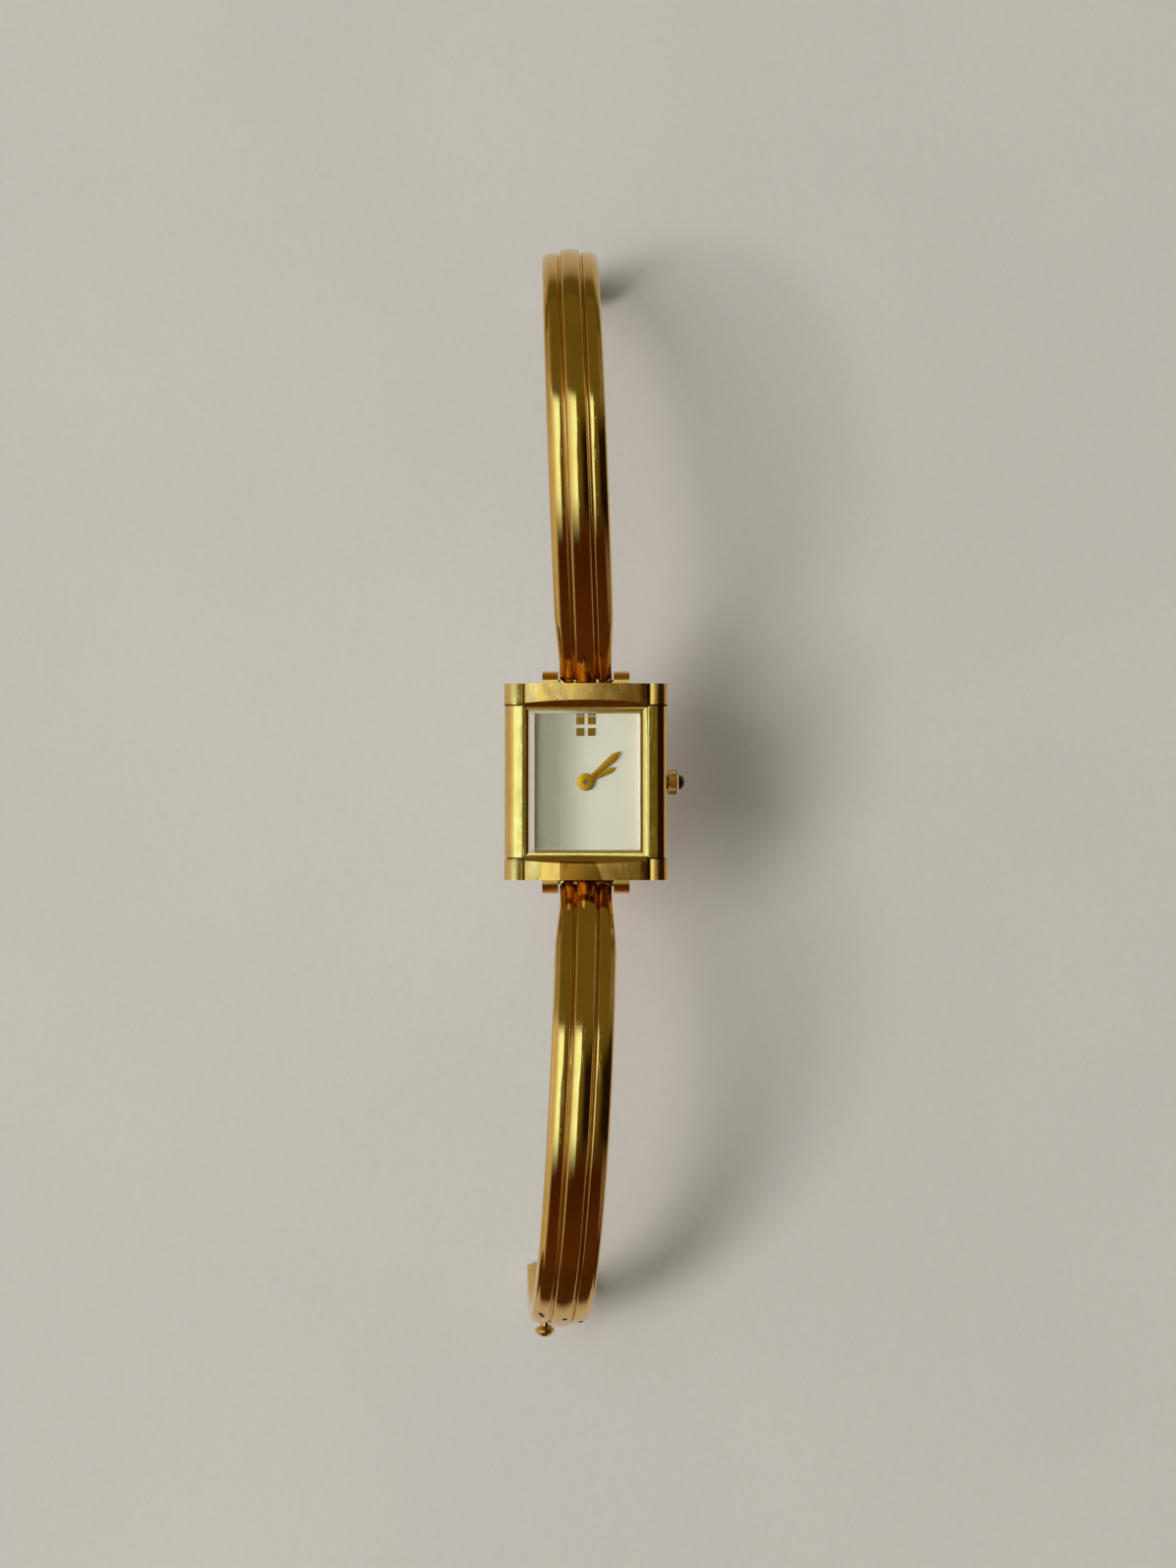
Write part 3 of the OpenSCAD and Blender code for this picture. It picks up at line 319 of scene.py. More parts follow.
def case_gold():
    """Polished gold of the case, worn to satin on the end bars, with painted shade in the cut lines and a
    painted dark reflection on the bottom bar.
    """
    m = material("case_gold")
    x, y, z = m.axes()
    ax, ay = x.size(), y.size()
    cloud = m.noise(1.7, detail=4.0)
    smear = m.noise(0.7, m.place((0.3, 1, 1)), detail=3.0)
    lines = fine_scratches(m, (12, -33, 58), 0.16, 18.0, 0.66)
    on_bar = ay.ramp(BAR_Y - 0.25, BAR_Y)
    on_top = z.ramp(RAIL_TOP - 1.0, RAIL_TOP - 0.3, 0.15, 1.0)
    patches = m.noise(1.3, m.place((1, 0.6, 1)), detail=3.0).ramp(0.42, 0.62)
    worn = on_bar * patches * x.ramp(1.5, -4.0, 0.25, 1.0) * on_top
    # painted shade in the cut lines round the corner blocks, weaker towards the left
    beside_bars = band(ax, CUT_X, CUT_X + CUT_W, 0.04) * ay.ramp(CUT_Y - 0.1, CUT_Y)
    across_rails = band(ay, CUT_Y, CUT_Y + CUT_W, 0.04) * ax.ramp(CUT_X - 0.1, CUT_X)
    below = z.ramp(RAIL_TOP - 0.01, RAIL_TOP - 0.07)
    painted_cut_shade = beside_bars.most(across_rails) * below * x.ramp(5.0, -5.0, 1.0, 0.72)
    # a patchy dark band along the bars' inner edges: partly wear, partly painted shade where the bars meet
    # the crystal
    edge = ay.ramp(BAR_Y + 0.02, BAR_Y - 0.18) * ay.ramp(BAR_Y - 0.4, BAR_Y - 0.24) \
        * m.noise(1.1, detail=3.0).ramp(0.4, 0.6)
    dings = m.cells(1.5).ramp(0.06, 0.03) * m.noise(2.7, detail=0.0).ramp(0.5, 0.6)
    # a painted dark reflection on the bottom bar, cut off straight on its left and slanting on its right
    left, right = (x + 2.75).ramp(-0.08, 0.08), (x - 1.4 + (y + 9.4) * 0.42).ramp(0.10, -0.10)
    painted_dark_reflection = y.ramp(0.2 - BAR_Y, -BAR_Y) * z.ramp(RAIL_TOP - 0.4, RAIL_TOP - 0.1) * left * right
    tone = m.mix(cloud.ramp(0.3, 0.7), (0.83, 0.56, 0.18), (0.78, 0.49, 0.14))
    tone = m.mix(on_bar * x.ramp(-5.7, -4.8), tone, (0.82, 0.42, 0.095))
    tone = m.mix(worn * 0.30, tone, (0.80, 0.56, 0.26))
    tone = m.mix(painted_dark_reflection * 0.88, tone, (0.27, 0.085, 0.002))
    tone = m.mix(edge * 0.5 + dings * 0.7, tone, (0.36, 0.20, 0.06))
    tone = m.mix(painted_cut_shade, tone, (0.030, 0.012, 0.003))
    roughness = 0.075 + cloud.ramp(0.4, 0.8) * 0.05 + smear.ramp(0.5, 0.8) * 0.05 + lines * 0.06 \
        + on_bar * 0.12 + worn * 0.14 + edge * 0.2 + dings * 0.3 + painted_cut_shade * 0.5
    relief = m.bump(smear * 0.3 + m.noise(5.0, detail=1.0) * 0.5, 0.008, 0.5)
    grit = m.noise(0.12, detail=2.0) * worn
    relief = m.bump(grit * 0.5 - lines * (0.15 + worn * 0.6) - dings * 2.0, 0.010, 0.5, relief)
    return m.finish(m.surface(Base_Color=tone, Metallic=1.0, Roughness=roughness, Normal=relief))


def satin_metal(name, colour, rough, grain=0.25, stretch=(1, 0.1, 1), tint=0.85):
    """Brushed or fine-ground metal with a grain in one direction."""
    m = material(name)
    hair = m.noise(grain, m.place(stretch), detail=3.0)
    cloud = m.noise(grain * 9, detail=3.0)
    tone = m.mix(cloud.ramp(0.3, 0.7), colour, times(colour, 3 * (tint,)))
    roughness = rough + hair.ramp(0.3, 0.7) * rough * 0.4 + cloud.ramp(0.4, 0.8) * 0.06
    relief = m.bump(hair, 0.006, 0.45)
    return m.finish(m.surface(Base_Color=tone, Metallic=1.0, Roughness=roughness, Normal=relief))


def moulded(name, colour, rough, grain, speck, coat=0.0):
    """Plastic, rubber or lacquer with a fine moulded skin."""
    m = material(name)
    fine = m.noise(grain, detail=4.0)
    cloud = m.noise(grain * 14, detail=2.0)
    tone = m.mix(cloud.ramp(0.3, 0.7), colour, times(colour, 3 * (speck,)))
    roughness = rough + fine.ramp(0.3, 0.7) * 0.12
    return m.finish(m.surface(Base_Color=tone, Roughness=roughness, Coat_Weight=coat,
                              Normal=m.bump(fine, 0.008, 0.4)))


def silver_dial():
    """Silvered dial with a very fine vertical grain, darkened towards its left by painted shade."""
    m = material("dial_silver")
    hair = m.noise(0.05, m.place((1, 0.12, 1)), detail=2.0)
    cloud = m.noise(3.5, detail=3.0)
    # painted shade of the case's left wall, darkest at the dial's left
    left = m.axes()[0].ramp(1.2, -3.9)
    tone = m.mix(cloud.ramp(0.2, 0.8), (0.7682, 0.7305, 0.6038), (0.7379, 0.7011, 0.5711))
    tone = m.mix(left * 0.85, tone, (0.2874, 0.2542, 0.1746))
    roughness = 0.42 + hair.ramp(0.3, 0.7) * 0.1
    return m.finish(m.surface(Base_Color=tone, Metallic=0.25, Roughness=roughness,
                              Normal=m.bump(hair, 0.002, 0.2)))


def crystal_glass():
    """Clear crystal, lightly marked, its bevel ground dull and coloured with painted light and shade. Shadows
    and soft light pass straight through.
    """
    m = material("crystal_glass")
    marks = fine_scratches(m, (18, -50, 76), 0.10, 30.0, 0.70)
    glass = m.surface(Base_Color=(0.97, 0.98, 0.97, 1), Roughness=marks * 0.10,
                      IOR=1.47, Transmission_Weight=1.0, Normal=m.bump(0.0 - marks, 0.002, 0.3))
    x, y, _ = m.axes()
    # the bevel's inner edges; painted light makes its left side and the left stretch of its top pale, and
    # painted shade leaves the rest of it dark gold
    left, right = x.ramp(-5.42, -5.50), x.ramp(5.74, 5.84)
    pale = left.most(y.ramp(7.24, 7.32) * x.ramp(2.0, -3.0))
    grain = m.noise(0.12, detail=3.0)
    tone = m.mix(grain.ramp(0.3, 0.7), (0.64, 0.55, 0.43), (0.74, 0.65, 0.53))
    tone = m.mix(pale, (0.30, 0.155, 0.015), tone)
    frost_with_painted_light = m.surface(Base_Color=tone, Roughness=0.5)
    bevel = left.most(right).most(y.size().ramp(7.24, 7.34))
    glass = m.node("ShaderNodeMixShader", {0: bevel * 0.82, 1: glass, 2: frost_with_painted_light})
    clear = m.node("ShaderNodeBsdfTransparent", {"Color": (0.97, 0.98, 0.97, 1)})
    shadow = m.light_path("Is Shadow Ray")
    diffuse = m.light_path("Is Diffuse Ray")
    return m.finish(m.node("ShaderNodeMixShader", {0: shadow.most(diffuse), 1: glass, 2: clear}))


def black_stone():
    """Black stone with a deep polish."""
    m = material("black_stone")
    vein = m.noise(0.4, m.place((1, 1, 0.4)), detail=4.0)
    tone = m.mix(vein.ramp(0.45, 0.7), (0.004, 0.004, 0.006), (0.014, 0.014, 0.019))
    roughness = 0.05 + m.noise(0.15, detail=3.0).ramp(0.5, 0.8) * 0.06
    return m.finish(m.surface(Base_Color=tone, Roughness=roughness, Coat_Weight=0.6, Coat_Roughness=0.03))


def copper_turns():
    """Enamelled wire, wound in tight turns."""
    m = material("copper_turns")
    turn = (m.axes()[0] * 95.0).wave()
    # painted shade: the grooves between the turns darker, their tops lighter
    tone = m.mix(turn.ramp(-1, 1), (0.30, 0.11, 0.035), (0.62, 0.27, 0.10))
    roughness = 0.28 + m.noise(0.3).ramp(0.4, 0.7) * 0.1
    return m.finish(m.surface(Base_Color=tone, Metallic=0.9, Roughness=roughness,
                              Normal=m.bump(turn, 0.015, 0.6)))


def circuit_lacquer():
    """Green solder mask with copper tracks under it."""
    m = material("circuit_lacquer")
    x, y, _ = m.axes()
    track = (x * 4.1 + (y * 2.3).wave() * 1.4).wave().ramp(0.55, 0.7)
    tone = m.mix(track, (0.012, 0.10, 0.045), (0.03, 0.20, 0.08))
    tone = m.mix(m.cells(1.1).ramp(0.13, 0.11), tone, (0.75, 0.55, 0.22))
    roughness = 0.3 + m.noise(0.2).ramp(0.4, 0.7) * 0.1
    return m.finish(m.surface(Base_Color=tone, Roughness=roughness, Coat_Weight=0.4,
                              Normal=m.bump(track, 0.02, 0.5)))


def hand_gold(name, colour, rough):
    """Gilt of the hands and applied squares, satin along their length."""
    m = material(name)
    hair = m.noise(0.07, m.place((1, 0.3, 1), (0, 0, 40)), detail=3.0)
    cloud = m.noise(0.8, detail=3.0)
    tone = m.mix(cloud.ramp(0.3, 0.7), colour, times(colour, (0.9, 0.86, 0.75)))
    return m.finish(m.surface(Base_Color=tone, Metallic=1.0, Roughness=rough + hair.ramp(0.3, 0.7) * 0.04,
                              Normal=m.bump(hair, 0.001, 0.2)))


def arbor_metal():
    """Brass arbor with a dark pin at its top."""
    m = material("arbor_metal")
    fine = m.noise(0.1, detail=3.0)
    pin = m.axes()[2].ramp(4.30, 4.36)
    tone = m.mix(pin, (0.66, 0.50, 0.24), (0.12, 0.09, 0.03))
    return m.finish(m.surface(Base_Color=tone, Metallic=1.0, Roughness=0.28 + fine.ramp(0.3, 0.7) * 0.15,
                              Normal=m.bump(fine, 0.003, 0.4)))


def table_paper():
    """Warm grey paper with a faint fibre. What polished metal mirrors of it goes dim far from the watch."""
    m = material("table_paper")
    y = m.axes()[1]
    fibre = m.noise(0.45, m.place((1, 0.6, 1)), detail=5.0, rough=0.6)
    cloud = m.noise(45.0, detail=2.0)
    tone = m.mix(cloud.ramp(0.3, 0.7), (0.665, 0.628, 0.595), (0.69, 0.65, 0.615))
    tone = m.mix(fibre.ramp(0.35, 0.75) * 0.12, tone, (0.50, 0.475, 0.44))
    # painted reflections: only in metal is the paper far beyond the watch dim olive and far in front dim
    # brown
    mirrored = m.light_path("Is Glossy Ray")
    tone = m.mix(y.ramp(68, 190) * mirrored, tone, (0.16, 0.13, 0.035))
    tone = m.mix(y.ramp(-92, -125) * mirrored, tone, (0.085, 0.030, 0.004))
    return m.finish(m.surface(Base_Color=tone, Roughness=0.85, Specular_IOR_Level=0.2,
                              Normal=m.bump(fibre, 0.06, 0.25)))


# pits near the end of the bottom arm
PITS = ((-5.08, -58.39, -3.1), (-4.89, -58.76, -3.85), (-2.42, -59.06, -3.42), (-0.71, -59.94, -6.57))
GOLD = polished_gold("arm_gold", (0.82, 0.53, 0.16), 0.06, 0.35, camber=0.10, pits=PITS)
CASE = case_gold()
SOFT_GOLD = polished_gold("clasp_gold", (0.80, 0.55, 0.20), 0.14, 0.5)
CROWN_GOLD = polished_gold("crown_gold", (0.80, 0.47, 0.15), 0.08, 0.3)
SPRING_GOLD = satin_metal("spring_gold", (0.70, 0.52, 0.24), 0.26, 0.2, (0.1, 1, 1))
HANDS = hand_gold("hand_gilt", (0.80, 0.36, 0.01), 0.15)
SQUARES = hand_gold("square_gilt", (0.50, 0.25, 0.02), 0.12)
STEEL = satin_metal("polished_steel", (0.60, 0.60, 0.62), 0.16)
NICKEL = satin_metal("grained_nickel", (0.66, 0.65, 0.61), 0.32, 0.3, (1, 0.2, 1))
BRIDGE = satin_metal("bridge_nickel", (0.68, 0.64, 0.54), 0.3, 0.24, (0.2, 1, 1))
BRASS = satin_metal("wheel_brass", (0.72, 0.54, 0.24), 0.22, 0.12, (1, 1, 1))
IRON = satin_metal("core_iron", (0.44, 0.44, 0.46), 0.4, 0.2)
MAGNET = moulded("magnet_black", (0.05, 0.05, 0.055), 0.38, 0.05, 0.7, 0.1)
CELL = satin_metal("cell_steel", (0.62, 0.62, 0.63), 0.26, 0.4, (1, 1, 1))
RUBBER = moulded("black_rubber", (0.018, 0.018, 0.018), 0.6, 0.06, 0.8)
RING = satin_metal("ring_gold", (0.82, 0.54, 0.17), 0.10, 0.1, (1, 1, 1), tint=0.9)
HOLDER = moulded("holder_plastic", (0.72, 0.71, 0.66), 0.5, 0.08, 0.92)
CHIP = moulded("chip_resin", (0.018, 0.018, 0.02), 0.4, 0.07, 0.7)


# Mesh helpers

# metres: points nearer than this are one; degrees: faces flatter than this are one
DOUBLE, FLAT = 1e-7, 0.4


def new_object(name, verts, faces, finish, smooth=32.0):
    """A piece from points in millimetres."""
    mesh = bpy.data.meshes.new(name)
    mesh.from_pydata([tuple(c * MM for c in v) for v in verts], [], faces)
    piece = bpy.data.objects.new(name, mesh)
    bpy.context.scene.collection.objects.link(piece)
    tidy(piece, finish, smooth)
    return piece


def tidy(piece, finish, smooth=32.0):
    """Joins doubles, turns the faces outward, sets the finish and the shading."""
    bm = bmesh.new()
    bm.from_mesh(piece.data)
    bmesh.ops.remove_doubles(bm, verts=bm.verts, dist=DOUBLE)
    bmesh.ops.recalc_face_normals(bm, faces=bm.faces)
    bm.to_mesh(piece.data)
    bm.free()
    dress(piece, finish)
    shade(piece.data, smooth)


def dress(piece, finish):
    """Gives a piece one finish all over."""
    piece.data.materials.clear()
    piece.data.materials.append(finish)


def shade(mesh, smooth):
    """Smooth shading, with sharp edges where the faces meet at more than smooth degrees."""
    mesh.polygons.foreach_set("use_smooth", [True] * len(mesh.polygons))
    mesh.set_sharp_from_angle(angle=math.radians(smooth))
    mesh.update()


def stand_for(piece, node):
    """Puts a piece in the place of a CAD node, on its body."""
    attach(piece, nodes[node]["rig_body"])
    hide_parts(node)


def softened(node, finish, width, segments=2, angle=28.0, smooth=30.0, chosen=None, chamfer=0.0):
    """A copy of a CAD node with its flat faces joined and its edges sharper than angle rounded.

    Edges whose two ends are both chosen are chamfered first.
    """
    piece = bpy.data.objects.new(node + "_softened", nodes[node].data.copy())
    bpy.context.scene.collection.objects.link(piece)
    bm = bmesh.new()
    bm.from_mesh(piece.data)
    bmesh.ops.remove_doubles(bm, verts=bm.verts, dist=DOUBLE)
    bmesh.ops.dissolve_limit(bm, angle_limit=math.radians(FLAT), verts=bm.verts, edges=bm.edges)
    if chosen:
        wide = [e for e in bm.edges if all(chosen(*(v.co / MM)) for v in e.verts)]
        bmesh.ops.bevel(bm, geom=wide, offset=chamfer * MM, segments=1, affect="EDGES", clamp_overlap=True)
    sharp = [e for e in bm.edges if len(e.link_faces) == 2 and e.calc_face_angle(0) > math.radians(angle)]
    bmesh.ops.bevel(bm, geom=sharp, offset=width * MM, segments=segments, profile=0.5, affect="EDGES",
                    clamp_overlap=True)
    bm.to_mesh(piece.data)
    bm.free()
    tidy(piece, finish, smooth)
    stand_for(piece, node)


def ring_faces(rows, columns, closed_rows=False, cap=True):
    """Quads of a tube of rows of points, with flat ends or bent round to its own start."""
    def at(i, j):
        return i % rows * columns + j % columns
    faces = [(at(i, j), at(i, j + 1), at(i + 1, j + 1), at(i + 1, j))
             for i in range(rows if closed_rows else rows - 1) for j in range(columns)]
    if cap and not closed_rows:
        faces.append(tuple(at(0, j) for j in reversed(range(columns))))
        faces.append(tuple(at(rows - 1, j) for j in range(columns)))
    return faces


def lathe(name, profile, finish, place, turns=96, smooth=32.0):
    """Turns a profile of (radius, height) round an axis; place maps (x, y, h) to the frame."""
    circle = [(math.cos(2 * math.pi * k / turns), math.sin(2 * math.pi * k / turns)) for k in range(turns)]
    verts, faces, rows = [], [], []
    for r, h in profile:
        around = [(r * c, r * s) for c, s in circle] if r > 1e-6 else [(0, 0)]
        rows.append(range(len(verts), len(verts) + len(around)))
        verts += [place(x, y, h) for x, y in around]
    for low, high in zip(rows, rows[1:]):
        for k in range(turns):
            n = (k + 1) % turns
            if len(low) == 1 and len(high) > 1:
                faces.append((low[0], high[n], high[k]))
            elif len(high) == 1 and len(low) > 1:
                faces.append((low[k], low[n], high[0]))
            elif len(low) > 1:
                faces.append((low[k], low[n], high[n], high[k]))
    return new_object(name, verts, faces, finish, smooth)


def fillet(points, steps=5):
    """A chain of (x, y, radius) corners as points, each corner rounded. The two ends stay sharp."""
    out = [Vector(points[0][:2])]
    for before, (x, y, r), after in zip(points, points[1:], points[2:]):
        corner, a, b = Vector((x, y)), Vector(before[:2]), Vector(after[:2])
        u, v = (a - corner).normalized(), (b - corner).normalized()
        half = math.acos(max(-1, min(1, u.dot(v)))) / 2
        if r < 1e-6 or half > math.pi / 2 - 0.01:
            out.append(corner)
            continue
        reach = min(r / math.tan(half), (a - corner).length * 0.49, (b - corner).length * 0.49)
        r = reach * math.tan(half)
        centre = corner + (u + v).normalized() * (r / math.sin(half))
        start, end = corner + u * reach - centre, corner + v * reach - centre
        sweep = start.angle_signed(end)
        for k in range(steps + 1):
            t = -sweep * k / steps
            out.append(centre + Vector((start.x * math.cos(t) - start.y * math.sin(t),
                                        start.x * math.sin(t) + start.y * math.cos(t))))
    out.append(Vector(points[-1][:2]))
    return out


def cut(piece, tools, operation="DIFFERENCE"):
    """Cuts tools out of a piece, or joins them to it, and removes them."""
    for tool in tools:
        change = piece.modifiers.new("cut", "BOOLEAN")
        change.operation, change.solver, change.object = operation, "EXACT", tool
    bpy.context.view_layer.update()
    done = bpy.data.meshes.new_from_object(piece.evaluated_get(bpy.context.evaluated_depsgraph_get()))
    piece.modifiers.clear()
    piece.data = done
    for tool in tools:
        bpy.data.objects.remove(tool)


# Bangle arms

def arm_point(x, u, angle, side):
    """Frame position of a point x across, u over the middle line, at an angle of the closed loop."""
    a = math.radians(angle)
    y, z = (LOOP_R + u) * math.cos(a), LOOP_Z + (LOOP_R + u) * math.sin(a)
    return arm_pose(x, y, z, side)


def arm_pose(x, y, z, side):
    """Leans and opens a point of the closed arm; side is 1 for the top arm and -1 for the bottom one."""
    p = POSE[side] @ Vector((x, y - HINGE_Y, z - HINGE_Z))
    return (p.x, side * (HINGE_Y + p.y), HINGE_Z + p.z)


def half_section(half):
    """Outline of half an arm, from the middle of the inner face round to the middle of the top."""
    corners = [(0, -T_IN, 0), (half, -T_IN, 0.38), (half, T_SIDE - 0.05, 0.85), (SIDE_EDGE, T_SIDE, 0.24),
               (GROOVE_OUT, GROOVE_U, 0.05), (GROOVE_IN, GROOVE_U, 0.05), (MID_EDGE, T_MID - 0.06, 0.26),
               (0, T_MID, 0)]
    rough = fillet(corners, 7)
    fine = []
    for a, b in zip(rough, rough[1:]):
        pieces = max(1, int((b - a).length / 0.3))
        fine += [a.lerp(b, k / pieces) for k in range(pieces)]
    fine.append(rough[-1])
    return [(x, crowned(x, u)) for x, u in fine]


def crowned(x, u):
    """The height of a section's point once the tops of the reeds are rounded."""
    beyond_lip = x - 1.45
    if u > T_SIDE - 0.3 and beyond_lip > 0:
        u -= 0.10 * (beyond_lip / 1.6) ** 2 + 0.03 * max(0.0, 1 - beyond_lip / 0.5) ** 2
    if u > T_SIDE + 0.1 and x < MID_EDGE:
        u -= 0.09 * (x / MID_EDGE) ** 2
    return u


def arm_mesh(name, end, side, finish):
    """An arm from its hinge to its end: a narrow root, then full width, then a slightly rounded end."""
    reach = HALF[side]
    half = half_section(reach)
    section = half + [(-x, u) for x, u in reversed(half[1:-1])]
    length = (HINGE_A - end) / DEG_MM
    steps, rounding = 250, 0.07
    stations = [length * k / steps for k in range(steps)]
    stations += [length - rounding, length - rounding * 0.3, length]
    mid, half_thick = (T_SIDE - T_IN) / 2, (T_SIDE + T_IN) / 2
    # the middle of the section, out to kept, is as wide at the root as at the end
    kept = 1.5
    verts = []
    for s in stations:
        t = min(1, max(0, (s - ROOT_LENGTH) / ROOT_TAPER))
        wide = ROOT_HALF + (reach - ROOT_HALF) * (3 * t * t - 2 * t ** 3)
        past = max(0, (s - length + rounding) / rounding)
        inset = rounding * (1 - math.sqrt(max(0, 1 - past ** 2)))
        for x, u in section:
            w = abs(x)
            if w > kept:
                w = kept + (w - kept) * (wide - kept) / (reach - kept)
            w = w * (1 - inset / reach)
            verts.append(arm_point(math.copysign(w, x), mid + (u - mid) * (1 - inset / half_thick),
                                   HINGE_A - s * DEG_MM, side))
    return new_object(name, verts, ring_faces(len(stations), len(section)), finish, smooth=40)


def curved_block(u0, u1, x, w, a0, a1, side, steps=40):
    """A block of the loop's curve, used to cut the arms."""
    verts = []
    for k in range(steps + 1):
        a = a0 + (a1 - a0) * k / steps
        verts += [arm_point(px, pu, a, side) for px, pu in
                  ((x - w / 2, u0), (x + w / 2, u0), (x + w / 2, u1), (x - w / 2, u1))]
    return new_object("cutter", verts, ring_faces(steps + 1, 4), GOLD)


def radial_place(angle, x, side):
    """Maps a lathe's axis to the outward direction of the loop at an angle."""
    a = math.radians(angle)

    def place(px, py, h):
        y = (LOOP_R + h) * math.cos(a) - py * math.sin(a)
        z = LOOP_Z + (LOOP_R + h) * math.sin(a) + py * math.cos(a)
        return arm_pose(x + px, y, z, side)
    return place


def radial_pin(angle, x, r, u0, u1, side, turns=64):
    """A round cutter across the arm's thickness."""
    return lathe("cutter", [(0, u0), (r, u0), (r, u1), (0, u1)], GOLD, radial_place(angle, x, side), turns)


def barrel(side, finish):
    """The arm's hinge barrel between the ears, with softened rims."""
    bore, r, w, e = HINGE_BORE_R, BARREL_R, ROOT_HALF, 0.12
    profile = [(bore, -w), (r - e, -w), (r - e * 0.3, -w + e * 0.3), (r, -w + e), (r, w - e),
               (r - e * 0.3, w - e * 0.3), (r - e, w), (bore, w), (bore, -w)]

    def place(px, py, h):
        p = (SKEW if side < 0 else Matrix.Identity(3)) @ Vector((h, px, py))
        return (p.x, side * (HINGE_Y + p.y), HINGE_Z + p.z)
    return lathe("cutter", profile, finish, place, turns=64)


def drop_below_feet(piece):
    """Takes off what lies under the flat feet and closes the cut."""
    bm = bmesh.new()
    bm.from_mesh(piece.data)
    cut_here = bmesh.ops.bisect_plane(bm, geom=bm.verts[:] + bm.edges[:] + bm.faces[:], dist=DOUBLE,
                                      plane_co=(0, 0, FOOT_Z * MM), plane_no=(0, 0, -1), clear_outer=True)
    edges = [g for g in cut_here["geom_cut"] if isinstance(g, bmesh.types.BMEdge)]
    bmesh.ops.contextual_create(bm, geom=edges)
    bm.to_mesh(piece.data)
    bm.free()


# how far a cutter runs past the arm's inner face, how far out it ends, how far it runs past
# the arm's end (in degrees), and how far it runs into the cut beside it
CLEAR, OUTSIDE, CLEAR_END, LAP = 1, 3, 2, 0.01
# how loosely the tongue sits in the top arm
FIT = 0.02
SLOT_LO = TONGUE[0] - PLAY


def finish_arm(arm, node):
    """Flattens the arm's foot and puts the arm in its node's place."""
    drop_below_feet(arm)
    tidy(arm, GOLD, smooth=35)
    stand_for(arm, node)


def top_arm():
    """The arm with the tongue's seat and the holes of its two rivets."""
    arm = arm_mesh("arm_reeded_top", END_TOP, 1, GOLD)
    cut(arm, [barrel(1, GOLD)], "UNION")
    seat = curved_block(TONGUE[0] - FIT, TONGUE[1] + FIT, 0, TONGUE_W,
                        END_TOP - CLEAR_END, END_TOP + TONGUE_DEPTH * DEG_MM, 1)
    cut(arm, [seat] + [radial_pin(END_TOP + s * DEG_MM, 0, RIVET_R, -T_IN - CLEAR, RIVET_TOP, 1)
                       for s in RIVETS_S])
    finish_arm(arm, "top_arm")


def bottom_arm():
    """The arm with the tongue's slot, the room for the catch and its cover, and the button's bore."""
    arm = arm_mesh("arm_reeded_bottom", END_BOTTOM, -1, GOLD)
    cut(arm, [barrel(-1, GOLD)], "UNION")
    cut(arm, [
        curved_block(SLOT_LO, TONGUE[1] + PLAY, 0, SLOT_W, END_BOTTOM - CLEAR_END, at_end(SLOT_DEPTH), -1),
        curved_block(COVER_HI, SLOT_LO + LAP, CATCH_X, CATCH_SLOT_W, *map(at_end, CATCH_SLOT_S), -1),
        curved_block(-T_IN - CLEAR, COVER_HI + LAP, CATCH_X, COVER_W, *map(at_end, COVER_S), -1)])
    bores = ((BORE_R, SLOT_LO - 0.2, 64), (SPRING_BORE_R, SPRING_SEAT, 96), (SEAT_R, BUTTON_SEAT, 96))
    rivets = [CATCH_X - COVER_RIVET_X, CATCH_X + COVER_RIVET_X]
    cut(arm, [radial_pin(at_end(BUTTON_S), BUTTON_X, r, floor, OUTSIDE, -1, turns)
              for r, floor, turns in bores]
        + [radial_pin(at_end(COVER_RIVET_S), x, COVER_RIVET_R, -T_IN - CLEAR, COVER_RIVET_TOP, -1, turns=48)
           for x in rivets])
    finish_arm(arm, "bottom_arm")


top_arm()
bottom_arm()


# Clasp

def button():
    """Flat round head on a neck, flange and shaft, turned in one piece."""
    shaft, foot, flange, low, high = 0.5, -0.35, 0.8, T_SIDE - 0.1, T_SIDE + 0.12
    profile = [(0, foot), (shaft - 0.06, foot), (shaft, foot + 0.06), (shaft, low), (flange - 0.04, low),
               (flange, low + 0.04), (flange, high - 0.04), (flange - 0.04, high), (shaft, high)]
    r, neck, tall = 1.12, T_SIDE + 0.6, 1.45
    # radius, share of the head's height, rounding of the corner there
    head = [(shaft, 0, 0), (shaft + 0.02, 0.18, 0.2), (r * 0.93, 0.36, 0.12), (r, 0.46, 0.1),
            (r * 0.98, 0.66, 0.3), (r * 0.62, 0.97, 0.4), (0, 1, 0)]
    profile += [tuple(p) for p in fillet([(x, neck + tall * share, soft) for x, share, soft in head], 8)]
    piece = lathe("button_turned", profile, SOFT_GOLD, radial_place(at_end(BUTTON_S), BUTTON_X, -1))
    stand_for(piece, "clasp_button")


